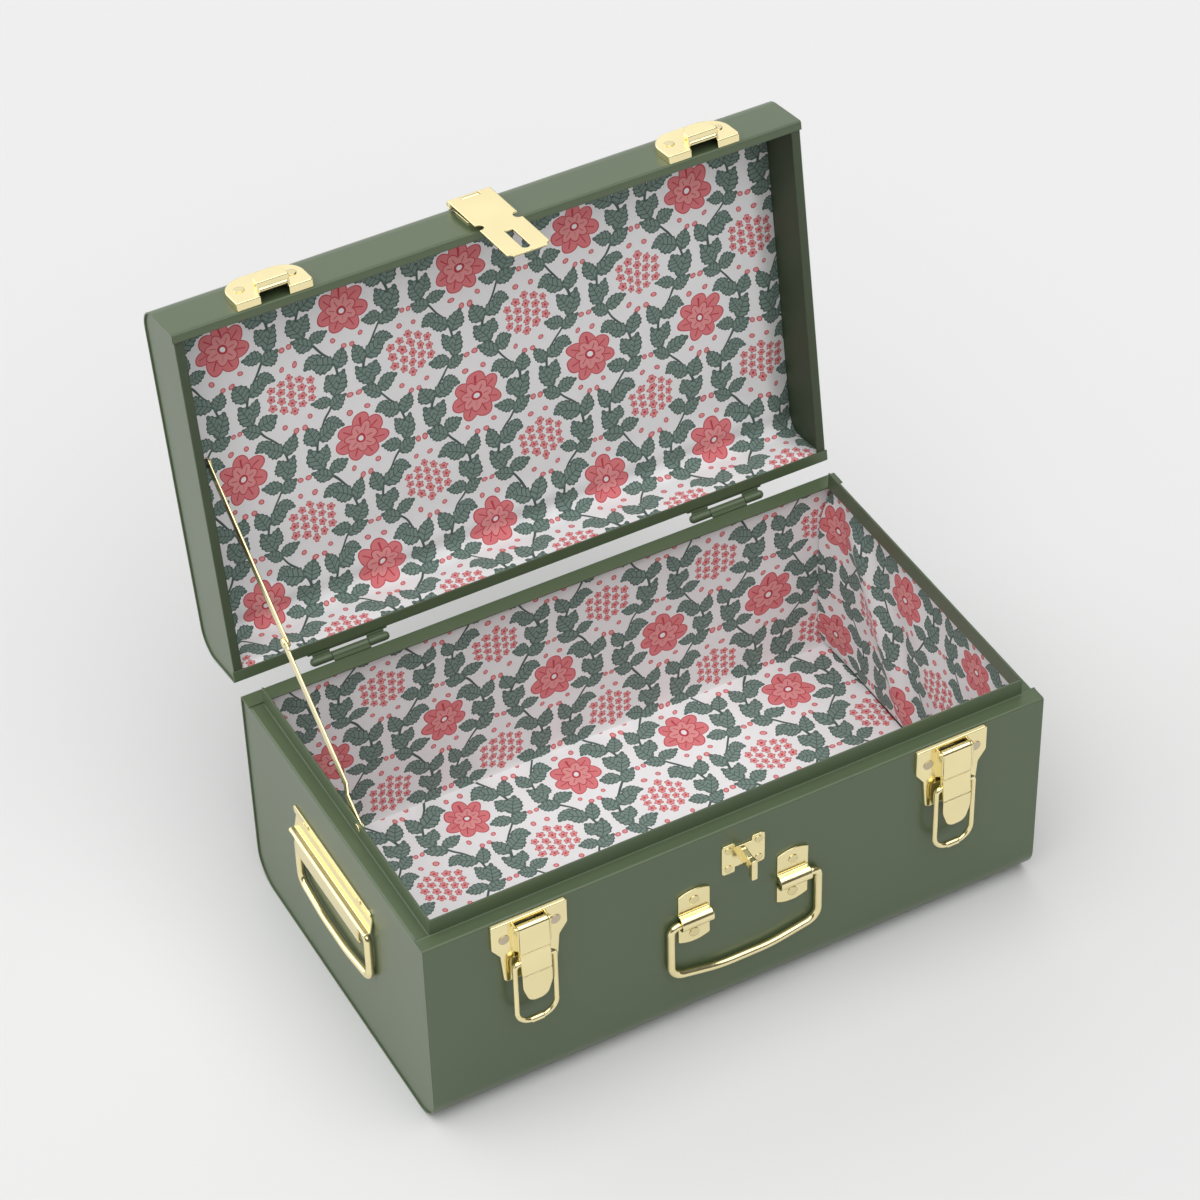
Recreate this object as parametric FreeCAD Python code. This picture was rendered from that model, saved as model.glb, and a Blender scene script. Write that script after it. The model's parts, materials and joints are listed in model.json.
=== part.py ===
"""A small sheet-steel storage trunk with a hinged lid, brass-plated hardware and a cloth lining.

Millimetres, +Z up. The origin is the centre of the flat base. +X runs along the length, -Y is the front.
The lid is drawn closed and then swung open about its hinge pins, because the trunk is stored open.
"""
import FreeCAD, Part
import os
from math import asin, cos, degrees, pi, radians, sin, tan

Vec = FreeCAD.Vector

# Trunk shells
LENGTH = 360.0
WIDTH = 210.0
BODY_HEIGHT = 130.0
LID_DEPTH = 40.0
SHEET = 0.8
BODY_EDGE_RADIUS = 18.0
LID_EDGE_RADIUS = 14.0
RIM_BEND = 0.6
RIM_GAP = 0.6
END_SETBACK = 0.8
SEAM = 0.05
LEDGE = 8.5
BACK_LEDGE = 10.0
LIP_HEIGHT = 10.0
LIP_BACK_END = 10.0
LID_FRONT_FLANGE = 5.0
LID_BACK_FLANGE = 7.0
LID_END_FLANGE = 5.0
OVERRUN = 5.0

# Lining boards
BOARD = 2.5
BOARD_GAP = 0.3
WALL_BOARD_INSET = 3.6
END_BOARD_INSET = 3.2
FLOOR_BOARD_RISE = 6.0
BOARD_TOP_DROP = 2.0
LID_LINING = 2.6
LID_LINING_INSET = 2.0

# Lid hinges
LID_OPEN = 99.2
HINGE_X = 114.5
HINGE_BEHIND = 4.2
HINGE_DROP = 0.4
KNUCKLE_RADIUS = 2.4
CENTRE_KNUCKLE = 21.8
OUTER_KNUCKLE = 12.2
KNUCKLE_GAP = 0.3
HINGE_LEAF = 1.0
HINGE_LEAF_HEIGHT = 22.0
HINGE_LEAF_DROP = 3.5
HINGE_LEAF_CORNER = 4.0
HINGE_PIN_RADIUS = 1.2
HINGE_CAP = 1.6
PIN_FIT = 0.05

# Rivets
RIVET_RADIUS = 1.4
RIVET_HEAD_RADIUS = 2.9
RIVET_HEAD = 0.5
RIVET_EDGE = 0.35
RIVET_TAIL_RADIUS = 2.4
RIVET_TAIL = 0.8

# Draw latches on the body's front
LATCH_X = 122.7
LATCH_SHEET = 0.9
LATCH_DEPTH = 2.6
LATCH_EDGE = 0.7
LATCH_HALF_WIDTH = 21.2
LATCH_FOOT_HALF_WIDTH = 15.0
LATCH_WAIST_HALF_WIDTH = 16.6
LATCH_TOP_DROP = 0.4
LATCH_HEIGHT = 41.5
LATCH_SHOULDER_TOP = 16.0
LATCH_SHOULDER_BOTTOM = 22.5
LATCH_CORNER = 3.0
LATCH_TOP_CORNER = 1.2
LATCH_RIVET_X = 14.3
LATCH_RIVET_DROP = 10.7
LATCH_WINDOW_HALF_WIDTH = 8.0
LATCH_WINDOW_HEIGHT = 10.0
LATCH_WINDOW_DROP = 2.6
LATCH_EAR = 0.8
LATCH_EAR_GAP = 0.25
LATCH_EAR_RISE = 2.4
LATCH_EAR_DROP = 13.0
LATCH_EAR_FOOT = 5.0
LATCH_EAR_DEPTH = 8.0
LATCH_EAR_CORNER = 1.6
LATCH_PIN_RADIUS = 1.2
LATCH_PIN_DROP = 4.2
LATCH_PIN_OUT = 5.6
LATCH_PIN_HEAD_RADIUS = 1.9
LATCH_PIN_HEAD = 0.6
LEVER_HALF_WIDTH = 8.3
LEVER_SHEET = 1.1
LEVER_BARREL_RADIUS = 2.4
LEVER_BREAK_DROP = 15.8
LEVER_BREAK_OUT = 8.5
LEVER_STEP = 0.6
LEVER_CREASE_DROP = 30.6
LEVER_CREASE_OUT = 9.4
LEVER_TIP_DROP = 49.6
LEVER_TIP_OUT = 9.7
LEVER_TIP_TAPER = 10.0
LEVER_TIP_HALF_WIDTH = 5.0
LEVER_TIP_CORNER = 5.5
LEVER_SIDE_CORNER = 14.0
LEVER_FOLD = 0.9
LEVER_FOLD_DEPTH = 0.6
LEVER_CREASE_FOLD = 0.6
LEVER_CREASE_DEPTH = 0.4
LEVER_CHEEK = 1.0
LEVER_CHEEK_DEPTH = 3.4
LOOP_RADIUS = 1.5
LOOP_HALF_WIDTH = 11.2
LOOP_DROP = 23.1
LOOP_OUT = 6.6
LOOP_LENGTH = 43.3
LOOP_CORNER = 9.0
LOOP_SLEEVE = 0.7
LOOP_JOINT = 7.0
LOOP_JOINT_RADIUS = 1.9

# Latch catches on the lid's front
CATCH_RISE = 0.6
CATCH_HEIGHT = 24.6
CATCH_CORNER = 13.0
CATCH_RIVET_RISE = 12.8
CATCH_DEPTH = 4.8
CATCH_HOOK_HALF_WIDTH = 8.8
CATCH_HOOK_SHEET = 0.9
CATCH_HOOK_DEPTH = 11.9
CATCH_HOOK_FRONT = 1.0
CATCH_HOOK_LENGTH = 11.3
CATCH_HOOK_CORNER = 8.0
CATCH_HOOK_BEND = 0.7
CATCH_MOUTH_LENGTH = 6.5
CATCH_LIP_OUT = 7.2
CATCH_LIP_RADIUS = 1.3

# Hasp on the lid's front
HASP_AXIS_RISE = 29.0
HASP_AXIS_OUT = 2.9
HASP_BARREL_RADIUS = 2.5
HASP_PIN_RADIUS = 1.1
HASP_HALF_WIDTH = 12.2
HASP_SHEET = 1.0
HASP_LENGTH = 68.3
HASP_TILT = 2.0
HASP_KNUCKLE_HALF_WIDTH = 5.3
HASP_KNUCKLE_GAP = 0.3
HASP_NOTCH_TOP = 30.0
HASP_NOTCH_LENGTH = 6.0
HASP_NOTCH_DEPTH = 3.6
HASP_SLOT_TOP = 44.0
HASP_SLOT_LENGTH = 21.0
HASP_SLOT_WIDTH = 4.6
HASP_TICKET = 2.4
HASP_LEAF_HALF_WIDTH = 11.0
HASP_LEAF_HEIGHT = 20.0
HASP_LEAF_CORNER = 2.0
HASP_RIVET_X = 6.5
HASP_RIVET_DROP = 14.0

# Turn-button lock on the body's front
LOCK_DROP = 22.2
LOCK_SHEET = 0.9
LOCK_HALF_WIDTH = 12.5
LOCK_HALF_HEIGHT = 10.2
LOCK_NECK_HALF_WIDTH = 5.0
LOCK_NECK_HALF_HEIGHT = 6.8
LOCK_CORNER = 2.0
LOCK_RIVET_X = 8.8
LOCK_RIVET_Z = 6.4
LOCK_RIVET_HEAD_RADIUS = 2.2
LOCK_RIVET_HEAD = 0.45
LOCK_POST_HALF_WIDTH = 1.5
LOCK_POST_HALF_HEIGHT = 4.6
LOCK_POST_OUT = 8.6
LOCK_POST_CORNER = 1.4
LOCK_PIN_RADIUS = 0.8
TOGGLE_GAP = 0.3
TOGGLE_HALF_WIDTH = 1.6
TOGGLE_DEPTH = 3.4
TOGGLE_UP = 4.6
TOGGLE_DOWN = 8.8

# Carrying handle on the body's front
ROD_RADIUS = 2.25
FRONT_BRACKET_X = 29.0
FRONT_BRACKET_HALF_WIDTH = 9.1
FRONT_BRACKET_SHEET = 1.2
FRONT_BRACKET_TOP = 97.2
FRONT_BRACKET_BOTTOM = 59.9
FRONT_BRACKET_ARCH = 2.4
FRONT_ROD_Z = 77.0
FRONT_HUMP_RISE = 3.4
FRONT_HUMP_CROWN = 3.2
FRONT_HUMP_BEND = 0.4
FRONT_RIVET_TOP_Z = 89.8
FRONT_RIVET_BOTTOM_Z = 66.4
FRONT_BAIL_HALF_WIDTH = 43.5
FRONT_BAIL_CORNER_Z = 42.0
FRONT_BAIL_BOTTOM_Z = 36.0
FRONT_BAIL_FLAT_HALF_WIDTH = 15.0
FRONT_BAIL_TOP_CORNER = 4.2
FRONT_BAIL_BOTTOM_CORNER = 8.5
FRONT_BAIL_BOW_RADIUS = 70.0
ROD_PLAY = 0.35
HUMP_BEND = 1.0

# Carrying handles on the body's ends
SIDE_HANDLE_Y = -1.5
SIDE_BRACKET_SHEET = 1.2
SIDE_FLANGE_FAR = 46.5
SIDE_ROOF_HALF_LENGTH = 43.9
SIDE_LIP_HALF_LENGTH = 36.4
SIDE_FLANGE_TOP = 102.6
SIDE_FLANGE_FOOT = 97.4
SIDE_FLANGE_CORNER = 4.0
SIDE_ROD_Z = 84.0
SIDE_VALLEY_OUT = 1.6
SIDE_VALLEY_Z = 88.6
SIDE_ROOF_Z = 88.9
SIDE_BAND_OUT = 5.2
SIDE_BAND_Z = 79.5
SIDE_EDGE_OUT = 4.0
SIDE_EDGE_Z = 77.5
SIDE_VALLEY_BEND = 0.5
SIDE_RIVET_Y = 30.3
SIDE_RIVET_Z = 99.9
SIDE_RIVET_HEAD_RADIUS = 2.3
SIDE_BAIL_HALF_WIDTH = 40.8
SIDE_BAIL_CORNER_Z = 53.5
SIDE_BAIL_BOTTOM_Z = 48.5
SIDE_BAIL_FLAT_HALF_WIDTH = 14.0
SIDE_BAIL_TOP_CORNER = 4.2
SIDE_BAIL_BOTTOM_CORNER = 7.5

# Folding lid stay inside the left end
STAY_REACH = 127.0
STAY_BODY_RISE = 2.6
STAY_LID_RISE = 9.34
STAY_SHEET = 1.0
STAY_HALF_WIDTH = 3.0
STAY_LIP_GAP = 0.3
STAY_JOGGLE = 1.9
STAY_JOGGLE_START = 17.0
STAY_JOGGLE_RUN = 6.0
STAY_PLANE_GAP = 0.4
STAY_RIVET_RADIUS = 1.3
STAY_HEAD_RADIUS = 2.6
STAY_HEAD = 0.6
STAY_POST_RADIUS = 2.5
STAY_EAR_LENGTH = 5.0
STAY_EAR = 0.8

# Places worked out from the sizes above
LID_RIM = BODY_HEIGHT + RIM_GAP
LID_TOP = LID_RIM + LID_DEPTH
HALF_LENGTH = LENGTH / 2
HALF_WIDTH = WIDTH / 2
END_FACE = HALF_LENGTH - END_SETBACK
END_INNER = END_FACE - SHEET
LIP_X = HALF_LENGTH - LEDGE
HINGE_Y = HALF_WIDTH + HINGE_BEHIND
HINGE_Z = BODY_HEIGHT - HINGE_DROP
LATCH_TOP = BODY_HEIGHT - LATCH_TOP_DROP
LATCH_PIN_Z = LATCH_TOP - LATCH_PIN_DROP
LOOP_Z = LATCH_PIN_Z - LOOP_DROP
LOCK_Z = BODY_HEIGHT - LOCK_DROP
FRONT_HUMP_OUT = 2 * (ROD_RADIUS + ROD_PLAY)
FRONT_ROD_OUT = ROD_RADIUS + ROD_PLAY
SIDE_ROD_OUT = ROD_RADIUS + ROD_PLAY
STAY_LOWER_X = -LIP_X + SHEET + STAY_LIP_GAP
STAY_MAIN_X = STAY_LOWER_X + STAY_JOGGLE
STAY_UPPER_X = STAY_MAIN_X + STAY_SHEET + STAY_PLANE_GAP


def placement(origin, along, up):
    """Local x runs along the first direction, local y along the second and local z out of both."""
    out = along.cross(up)
    return FreeCAD.Placement(origin, FreeCAD.Rotation(along, up, out, "XYZ"))


EAST = Vec(1, 0, 0)
NORTH = Vec(0, 1, 0)
UP = Vec(0, 0, 1)
FRONT = placement(Vec(0, -HALF_WIDTH, 0), EAST, UP)
LID_FRONT = placement(Vec(0, -HALF_WIDTH, LID_RIM), EAST, UP)
LEFT = placement(Vec(-END_FACE, SIDE_HANDLE_Y, 0), -NORTH, UP)
RIGHT = placement(Vec(END_FACE, SIDE_HANDLE_Y, 0), NORTH, UP)
OPEN_LID = FreeCAD.Placement(
    Vec(), FreeCAD.Rotation(EAST, -LID_OPEN), Vec(0, HINGE_Y, HINGE_Z)
)


def put(shape, place):
    return shape.transformed(place.toMatrix(), True)


def corner_edges(before, corner, after, radius):
    """The start and end of a rounded corner, and its arc, or none for a sharp corner."""
    if not radius:
        return corner, corner, None
    back = (before - corner).normalize()
    ahead = (after - corner).normalize()
    half = back.getAngle(ahead) / 2
    bisector = (back + ahead).normalize()
    start = corner + back * (radius / tan(half))
    end = corner + ahead * (radius / tan(half))
    middle = corner + bisector * (radius / sin(half) - radius)
    return start, end, Part.Arc(start, middle, end).toShape()


def flat(points):
    return [Vec(x, y, 0) for x, y in points]


def spread(radii, points):
    return list(radii) if isinstance(radii, (list, tuple)) else [radii] * len(points)


def closed_wire(points, radii=0):
    """A closed outline in the local plane with each corner rounded."""
    points = flat(points)
    radii = spread(radii, points)
    count = len(points)
    corners = [
        corner_edges(points[i - 1], points[i], points[(i + 1) % count], radii[i])
        for i in range(count)
    ]
    edges = []
    for i, (start, end, arc) in enumerate(corners):
        if arc:
            edges.append(arc)
        following = corners[(i + 1) % count][0]
        if (following - end).Length > SEAM / 10:
            edges.append(Part.LineSegment(end, following).toShape())
    return Part.Wire(Part.__sortEdges__(edges))


def open_wire(points, radii):
    """An open path in the local plane with its inner corners rounded."""
    points = flat(points)
    edges = []
    last = points[0]
    for before, corner, after, radius in zip(points, points[1:], points[2:], radii):
        start, end, arc = corner_edges(before, corner, after, radius)
        edges.append(Part.LineSegment(last, start).toShape())
        edges.append(arc)
        last = end
    edges.append(Part.LineSegment(last, points[-1]).toShape())
    return Part.Wire(edges)


def plate(points, radii, thickness, rise=0.0):
    """An outline in the local plane, thickened outwards from the given rise."""
    solid = Part.Face(closed_wire(points, radii)).extrude(Vec(0, 0, thickness))
    solid.translate(Vec(0, 0, rise))
    return solid


def strip_face(points, bends, thickness):
    """A bent sheet seen edge on: the path is one face, the thickness lies to its left (right if negative)."""
    path = flat(points)
    bends = [0] + spread(bends, path[1:-1]) + [0]
    runs = [(b - a).normalize() for a, b in zip(path, path[1:])]
    lefts = [Vec(-run.y, run.x, 0) for run in runs]
    near, far, near_radii, far_radii = [], [], [], []
    for i, point in enumerate(path):
        first = lefts[max(i - 1, 0)]
        second = lefts[min(i, len(lefts) - 1)]
        shift = (first + second) * (thickness / (1 + first.dot(second)))
        turns_inwards = first.cross(second).z * thickness > 0
        near.append((point.x, point.y))
        far.append((point.x + shift.x, point.y + shift.y))
        outside = bends[i] + abs(thickness) if bends[i] else 0
        near_radii.append(outside if turns_inwards else bends[i])
        far_radii.append(bends[i] if turns_inwards else outside)
    return Part.Face(closed_wire(near + far[::-1], near_radii + far_radii[::-1]))


def lengthwise(face, start, length):
    """A face drawn in Y and Z, run along X."""
    solid = put(face, placement(Vec(start, 0, 0), NORTH, UP))
    return solid.extrude(EAST * length)


def across(face, centre, half_width):
    """A face drawn as distance out and height, run sideways about a centre in a wall's own frame."""
    solid = put(face, placement(Vec(centre - half_width, 0, 0), UP, NORTH))
    return solid.extrude(EAST * (2 * half_width))


def block(low, high):
    return Part.makeBox(high[0] - low[0], high[1] - low[1], high[2] - low[2], Vec(*low))


def rod(radius, start, end):
    return Part.makeCylinder(radius, (end - start).Length, start, end - start)


def bent_rod(wire, radius):
    """A round rod along a planar path that starts at the wire's first vertex."""
    edge = wire.OrderedEdges[0]
    start = edge.valueAt(edge.FirstParameter)
    run = edge.tangentAt(edge.FirstParameter)
    section = Part.Wire(Part.makeCircle(radius, start, run))
    return wire.makePipeShell([section], True, True)


def rivet(x, y, grip, head_radius=RIVET_HEAD_RADIUS, head=RIVET_HEAD):
    """A rivet whose head stands on the local plane and whose tail grips what lies behind it."""
    foot = Vec(x, y, 0)
    dome = Part.makeCylinder(head_radius, head, foot)
    rim = [edge for edge in dome.Edges if edge.BoundBox.ZMin > head / 2 and len(edge.Vertexes) == 1]
    dome = dome.makeFillet(min(RIVET_EDGE, head / 2), rim)
    shank = Part.makeCylinder(RIVET_RADIUS, grip + RIVET_TAIL, Vec(x, y, -grip - RIVET_TAIL))
    tail = Part.makeCylinder(RIVET_TAIL_RADIUS, RIVET_TAIL, Vec(x, y, -grip - RIVET_TAIL))
    return dome.fuse([shank, tail]).removeSplitter()


def rivet_set(places, surface, grip, place, **head):
    """Like rivets as one group of separate solids, their heads standing on the same surface."""
    solids = [rivet(x, y, grip, **head) for x, y in places]
    for solid in solids:
        solid.translate(Vec(0, 0, surface))
    return put(Part.makeCompound(solids), place)


def rivet_holes(places, place):
    """The clearance bores of a set of rivets, through everything at their wall."""
    bores = [
        rod(RIVET_RADIUS + PIN_FIT, Vec(x, y, -OVERRUN), Vec(x, y, OVERRUN)) for x, y in places
    ]
    return put(Part.makeCompound(bores), place)


def drill(shape, *bores):
    return shape.cut(list(bores))


PARTS = {}


def keep(name, shape):
    PARTS[name] = shape


def keep_open(name, shape):
    keep(name, put(shape, OPEN_LID))


def mirrored(points):
    """A left-hand outline from foot to top, completed by its mirror image."""
    return points + [(-x, y) for x, y in reversed(points)]


# Rivet places, each in the frame of its own wall
SIDES = {"left": -1, "right": 1}
LATCH_RIVETS = {
    side: [
        (sign * LATCH_X - LATCH_RIVET_X, LATCH_TOP - LATCH_RIVET_DROP),
        (sign * LATCH_X + LATCH_RIVET_X, LATCH_TOP - LATCH_RIVET_DROP),
    ]
    for side, sign in SIDES.items()
}
CATCH_RIVETS = {
    side: [
        (sign * LATCH_X - LATCH_RIVET_X, CATCH_RIVET_RISE),
        (sign * LATCH_X + LATCH_RIVET_X, CATCH_RIVET_RISE),
    ]
    for side, sign in SIDES.items()
}
LOCK_RIVETS = [
    (x, LOCK_Z + z) for x in (-LOCK_RIVET_X, LOCK_RIVET_X) for z in (-LOCK_RIVET_Z, LOCK_RIVET_Z)
]
FRONT_RIVETS = [
    (sign * FRONT_BRACKET_X, z)
    for sign in SIDES.values()
    for z in (FRONT_RIVET_BOTTOM_Z, FRONT_RIVET_TOP_Z)
]
SIDE_RIVETS = [(-SIDE_RIVET_Y, SIDE_RIVET_Z), (SIDE_RIVET_Y, SIDE_RIVET_Z)]
HASP_RIVETS = [
    (-HASP_RIVET_X, HASP_AXIS_RISE - HASP_RIVET_DROP),
    (HASP_RIVET_X, HASP_AXIS_RISE - HASP_RIVET_DROP),
]


def stay_pivot(rise):
    """A stay pivot at its reach from the hinge, raised from level by an angle, as Y and Z."""
    turn = radians(rise)
    return HINGE_Y - STAY_REACH * cos(turn), HINGE_Z + STAY_REACH * sin(turn)


STAY_BODY = stay_pivot(STAY_BODY_RISE)
STAY_LID = stay_pivot(STAY_LID_RISE)
STAY_OPEN_HALF = radians(LID_OPEN + STAY_LID_RISE - STAY_BODY_RISE) / 2
STAY_LINK = STAY_REACH * sin(STAY_OPEN_HALF)
STAY_ANGLE = pi / 2 - STAY_OPEN_HALF


def body_wrap():
    """Front, bottom and back in one bent sheet, with the front lip and both ledges."""
    path = [
        (-HALF_WIDTH + LEDGE, BODY_HEIGHT + LIP_HEIGHT),
        (-HALF_WIDTH + LEDGE, BODY_HEIGHT),
        (-HALF_WIDTH, BODY_HEIGHT),
        (-HALF_WIDTH, 0),
        (HALF_WIDTH, 0),
        (HALF_WIDTH, BODY_HEIGHT),
        (HALF_WIDTH - BACK_LEDGE, BODY_HEIGHT),
    ]
    edge_bend = BODY_EDGE_RADIUS - SHEET
    bends = [RIM_BEND, RIM_BEND, edge_bend, edge_bend, RIM_BEND]
    solid = lengthwise(strip_face(path, bends, SHEET), -HALF_LENGTH, LENGTH)
    lip_foot = BODY_HEIGHT + RIM_BEND / 2
    lip_back = -HALF_WIDTH + LEDGE + SHEET + OVERRUN
    for sign in SIDES.values():
        outer = sign * (HALF_LENGTH + OVERRUN)
        inner = sign * LIP_X
        solid = solid.cut(
            block(
                (min(outer, inner), -HALF_WIDTH - OVERRUN, lip_foot),
                (max(outer, inner), lip_back, BODY_HEIGHT + LIP_HEIGHT + OVERRUN),
            )
        )
    bores = [rivet_holes(LATCH_RIVETS[side], FRONT) for side in SIDES]
    bores += [rivet_holes(LOCK_RIVETS, FRONT), rivet_holes(FRONT_RIVETS, FRONT)]
    return drill(solid, *bores)


def end_wall(low, high, radius, round_low):
    """An end sheet's outline in Y and Z, rounded along the wrap's bent edges."""
    half = HALF_WIDTH - SHEET - SEAM
    points = [(-half, low), (half, low), (half, high), (-half, high)]
    radii = [radius, radius, 0, 0] if round_low else [RIM_BEND, RIM_BEND, radius, radius]
    return Part.Face(closed_wire(points, radii))


def body_end(sign):
    """An end panel with its ledge and the lip that the lid closes around."""
    half = HALF_WIDTH - SHEET - RIM_BEND
    top = BODY_HEIGHT - SHEET
    radius = BODY_EDGE_RADIUS - SHEET - SEAM
    wall = lengthwise(end_wall(SHEET + SEAM, top - SHEET, radius, True), END_INNER, SHEET)
    path = [
        (END_FACE, top - 2 * SHEET),
        (END_FACE, top),
        (LIP_X, top),
        (LIP_X, BODY_HEIGHT + LIP_HEIGHT),
    ]
    rim = strip_face(path, [RIM_BEND, RIM_BEND], SHEET)
    rim = put(rim, placement(Vec(0, half, 0), EAST, UP)).extrude(-NORTH * (2 * half))
    lip_top = BODY_HEIGHT + LIP_HEIGHT + OVERRUN
    lip_front = -HALF_WIDTH + LEDGE + SHEET + SEAM
    lip_end = HALF_WIDTH - LIP_BACK_END
    rim = rim.cut(block((0, -HALF_WIDTH, top), (HALF_LENGTH, lip_front, lip_top)))
    rim = rim.cut(block((0, lip_end, top), (HALF_LENGTH, HALF_WIDTH, lip_top)))
    solid = wall.fuse(rim).removeSplitter()
    if sign < 0:
        solid = solid.mirror(Vec(), EAST)
        stay_bore = rod(
            STAY_RIVET_RADIUS + PIN_FIT,
            Vec(-HALF_LENGTH, *STAY_BODY),
            Vec(STAY_UPPER_X, *STAY_BODY),
        )
        return drill(solid, rivet_holes(SIDE_RIVETS, LEFT), stay_bore)
    return drill(solid, rivet_holes(SIDE_RIVETS, RIGHT))


def lining_boards():
    """Cloth-covered boards: a floor that rests on the bent edges, and four walls that stand on it."""
    wall_y = HALF_WIDTH - WALL_BOARD_INSET
    end_x = HALF_LENGTH - END_BOARD_INSET
    floor_top = FLOOR_BOARD_RISE + BOARD
    foot = floor_top + BOARD_GAP
    top = BODY_HEIGHT - BOARD_TOP_DROP
    floor_y = wall_y - BOARD
    keep("floor_lining", block((-end_x, -floor_y, FLOOR_BOARD_RISE), (end_x, floor_y, floor_top)))
    for name, sign in (("front_lining", -1), ("back_lining", 1)):
        near, far = sorted((sign * wall_y, sign * (wall_y - BOARD)))
        keep(name, block((-end_x, near, foot), (end_x, far, top)))
    side_y = wall_y - BOARD - BOARD_GAP
    for name, sign in (("left_lining", -1), ("right_lining", 1)):
        near, far = sorted((sign * end_x, sign * (end_x - BOARD)))
        keep(name, block((near, -side_y, foot), (far, side_y, top)))


def lid_wrap():
    """Front, top and back of the lid in one bent sheet with its rim turned in."""
    path = [
        (HALF_WIDTH - LID_BACK_FLANGE, LID_RIM),
        (HALF_WIDTH, LID_RIM),
        (HALF_WIDTH, LID_TOP),
        (-HALF_WIDTH, LID_TOP),
        (-HALF_WIDTH, LID_RIM),
        (-HALF_WIDTH + LID_FRONT_FLANGE, LID_RIM),
    ]
    edge_bend = LID_EDGE_RADIUS - SHEET
    face = strip_face(path, [RIM_BEND, edge_bend, edge_bend, RIM_BEND], SHEET)
    solid = lengthwise(face, -HALF_LENGTH, LENGTH)
    bores = [rivet_holes(CATCH_RIVETS[side], LID_FRONT) for side in SIDES]
    return drill(solid, rivet_holes(HASP_RIVETS, LID_FRONT), *bores)


def lid_end(sign):
    """A lid end panel with its rim turned in over the wrap's flanges."""
    half = HALF_WIDTH - SHEET - RIM_BEND
    rim = LID_RIM + SHEET + SEAM
    radius = LID_EDGE_RADIUS - SHEET - SEAM
    wall = lengthwise(end_wall(rim, LID_TOP - SHEET - SEAM, radius, False), END_INNER, SHEET)
    flange = block((END_FACE - LID_END_FLANGE, -half, rim), (END_FACE, half, rim + SHEET))
    solid = wall.fuse(flange).removeSplitter()
    return solid if sign > 0 else solid.mirror(Vec(), EAST)


def lid_lining():
    """One padded cloth-covered sheet that follows the lid's front, top and back."""
    half = HALF_WIDTH - LID_LINING_INSET
    top = LID_TOP - LID_LINING_INSET
    foot = LID_RIM + 2 * SHEET + BOARD_GAP
    bend = LID_EDGE_RADIUS - LID_LINING_INSET - LID_LINING
    path = [(half, foot), (half, top), (-half, top), (-half, foot)]
    end = END_INNER - BOARD_GAP
    return lengthwise(strip_face(path, bend, LID_LINING), -end, 2 * end)


def knuckle(start, length, bore):
    axis = Vec(start, HINGE_Y, HINGE_Z)
    return rod(bore, axis, axis + EAST * length)


def hinge_leaf_outline(low, high):
    """The flat of a hinge leaf on the back, in X and Z about the hinge's centre."""
    half = CENTRE_KNUCKLE / 2 + OUTER_KNUCKLE
    return [(-half, low), (half, low), (half, high), (-half, high)]


def hinge(side, sign):
    """A three-knuckle hinge: the middle knuckle on the body, the two capped outer ones on the lid."""
    centre = sign * HINGE_X
    back = placement(Vec(centre, HALF_WIDTH + HINGE_LEAF, 0), EAST, UP)
    half_middle = CENTRE_KNUCKLE / 2 - KNUCKLE_GAP
    half_total = CENTRE_KNUCKLE / 2 + OUTER_KNUCKLE
    bore = HINGE_PIN_RADIUS + PIN_FIT
    pin_half = half_total - HINGE_CAP

    leaf_top = BODY_HEIGHT - HINGE_LEAF_DROP
    corners = [HINGE_LEAF_CORNER, HINGE_LEAF_CORNER, 0, 0]
    leaf = plate(hinge_leaf_outline(BODY_HEIGHT - HINGE_LEAF_HEIGHT, leaf_top), corners, HINGE_LEAF)
    neck = block(
        (centre - half_middle, HALF_WIDTH, leaf_top),
        (centre + half_middle, HALF_WIDTH + HINGE_LEAF, BODY_HEIGHT),
    )
    web = block(
        (centre - half_middle, HALF_WIDTH, BODY_HEIGHT - HINGE_LEAF),
        (centre + half_middle, HINGE_Y, BODY_HEIGHT),
    )
    middle = knuckle(centre - half_middle, 2 * half_middle, KNUCKLE_RADIUS)
    body_leaf = put(leaf, back).fuse([neck, web, middle]).removeSplitter()
    keep(f"{side}_hinge_body_leaf", body_leaf.cut(knuckle(centre - pin_half, 2 * pin_half, bore)))

    corners = [0, 0, HINGE_LEAF_CORNER, HINGE_LEAF_CORNER]
    outline = hinge_leaf_outline(LID_RIM + HINGE_LEAF, LID_RIM + HINGE_LEAF_HEIGHT)
    leaf = plate(outline, corners, HINGE_LEAF)
    pieces = []
    for end in (-1, 1):
        inner = centre + end * CENTRE_KNUCKLE / 2
        outer = centre + end * (half_total - KNUCKLE_RADIUS)
        low, high = sorted((inner, outer))
        pieces.append(knuckle(low, high - low, KNUCKLE_RADIUS))
        pieces.append(Part.makeSphere(KNUCKLE_RADIUS, Vec(outer, HINGE_Y, HINGE_Z)))
        web = block((low, HALF_WIDTH, LID_RIM), (high, HINGE_Y, LID_RIM + HINGE_LEAF))
        pieces.append(web)
    lid_leaf = put(leaf, back).fuse(pieces).removeSplitter()
    lid_leaf = lid_leaf.cut(knuckle(centre - pin_half, 2 * pin_half, bore))
    keep_open(f"{side}_hinge_lid_leaf", lid_leaf)

    slack = KNUCKLE_GAP
    keep(f"{side}_hinge_pin", knuckle(centre - pin_half + slack, 2 * (pin_half - slack), HINGE_PIN_RADIUS))


def tray(points, radii, depth, sheet, edge):
    """A pressed plate: its folded edges stand on the wall and its rounded face lies at the full depth."""
    outer = Part.Face(closed_wire(points, radii))
    solid = outer.extrude(UP * depth)
    rim = [line for line in solid.Edges if line.BoundBox.ZMin > depth - SEAM]
    solid = solid.makeFillet(edge, rim)
    return solid.cut(outer.makeOffset2D(-sheet).extrude(UP * (depth - sheet)))


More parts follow.
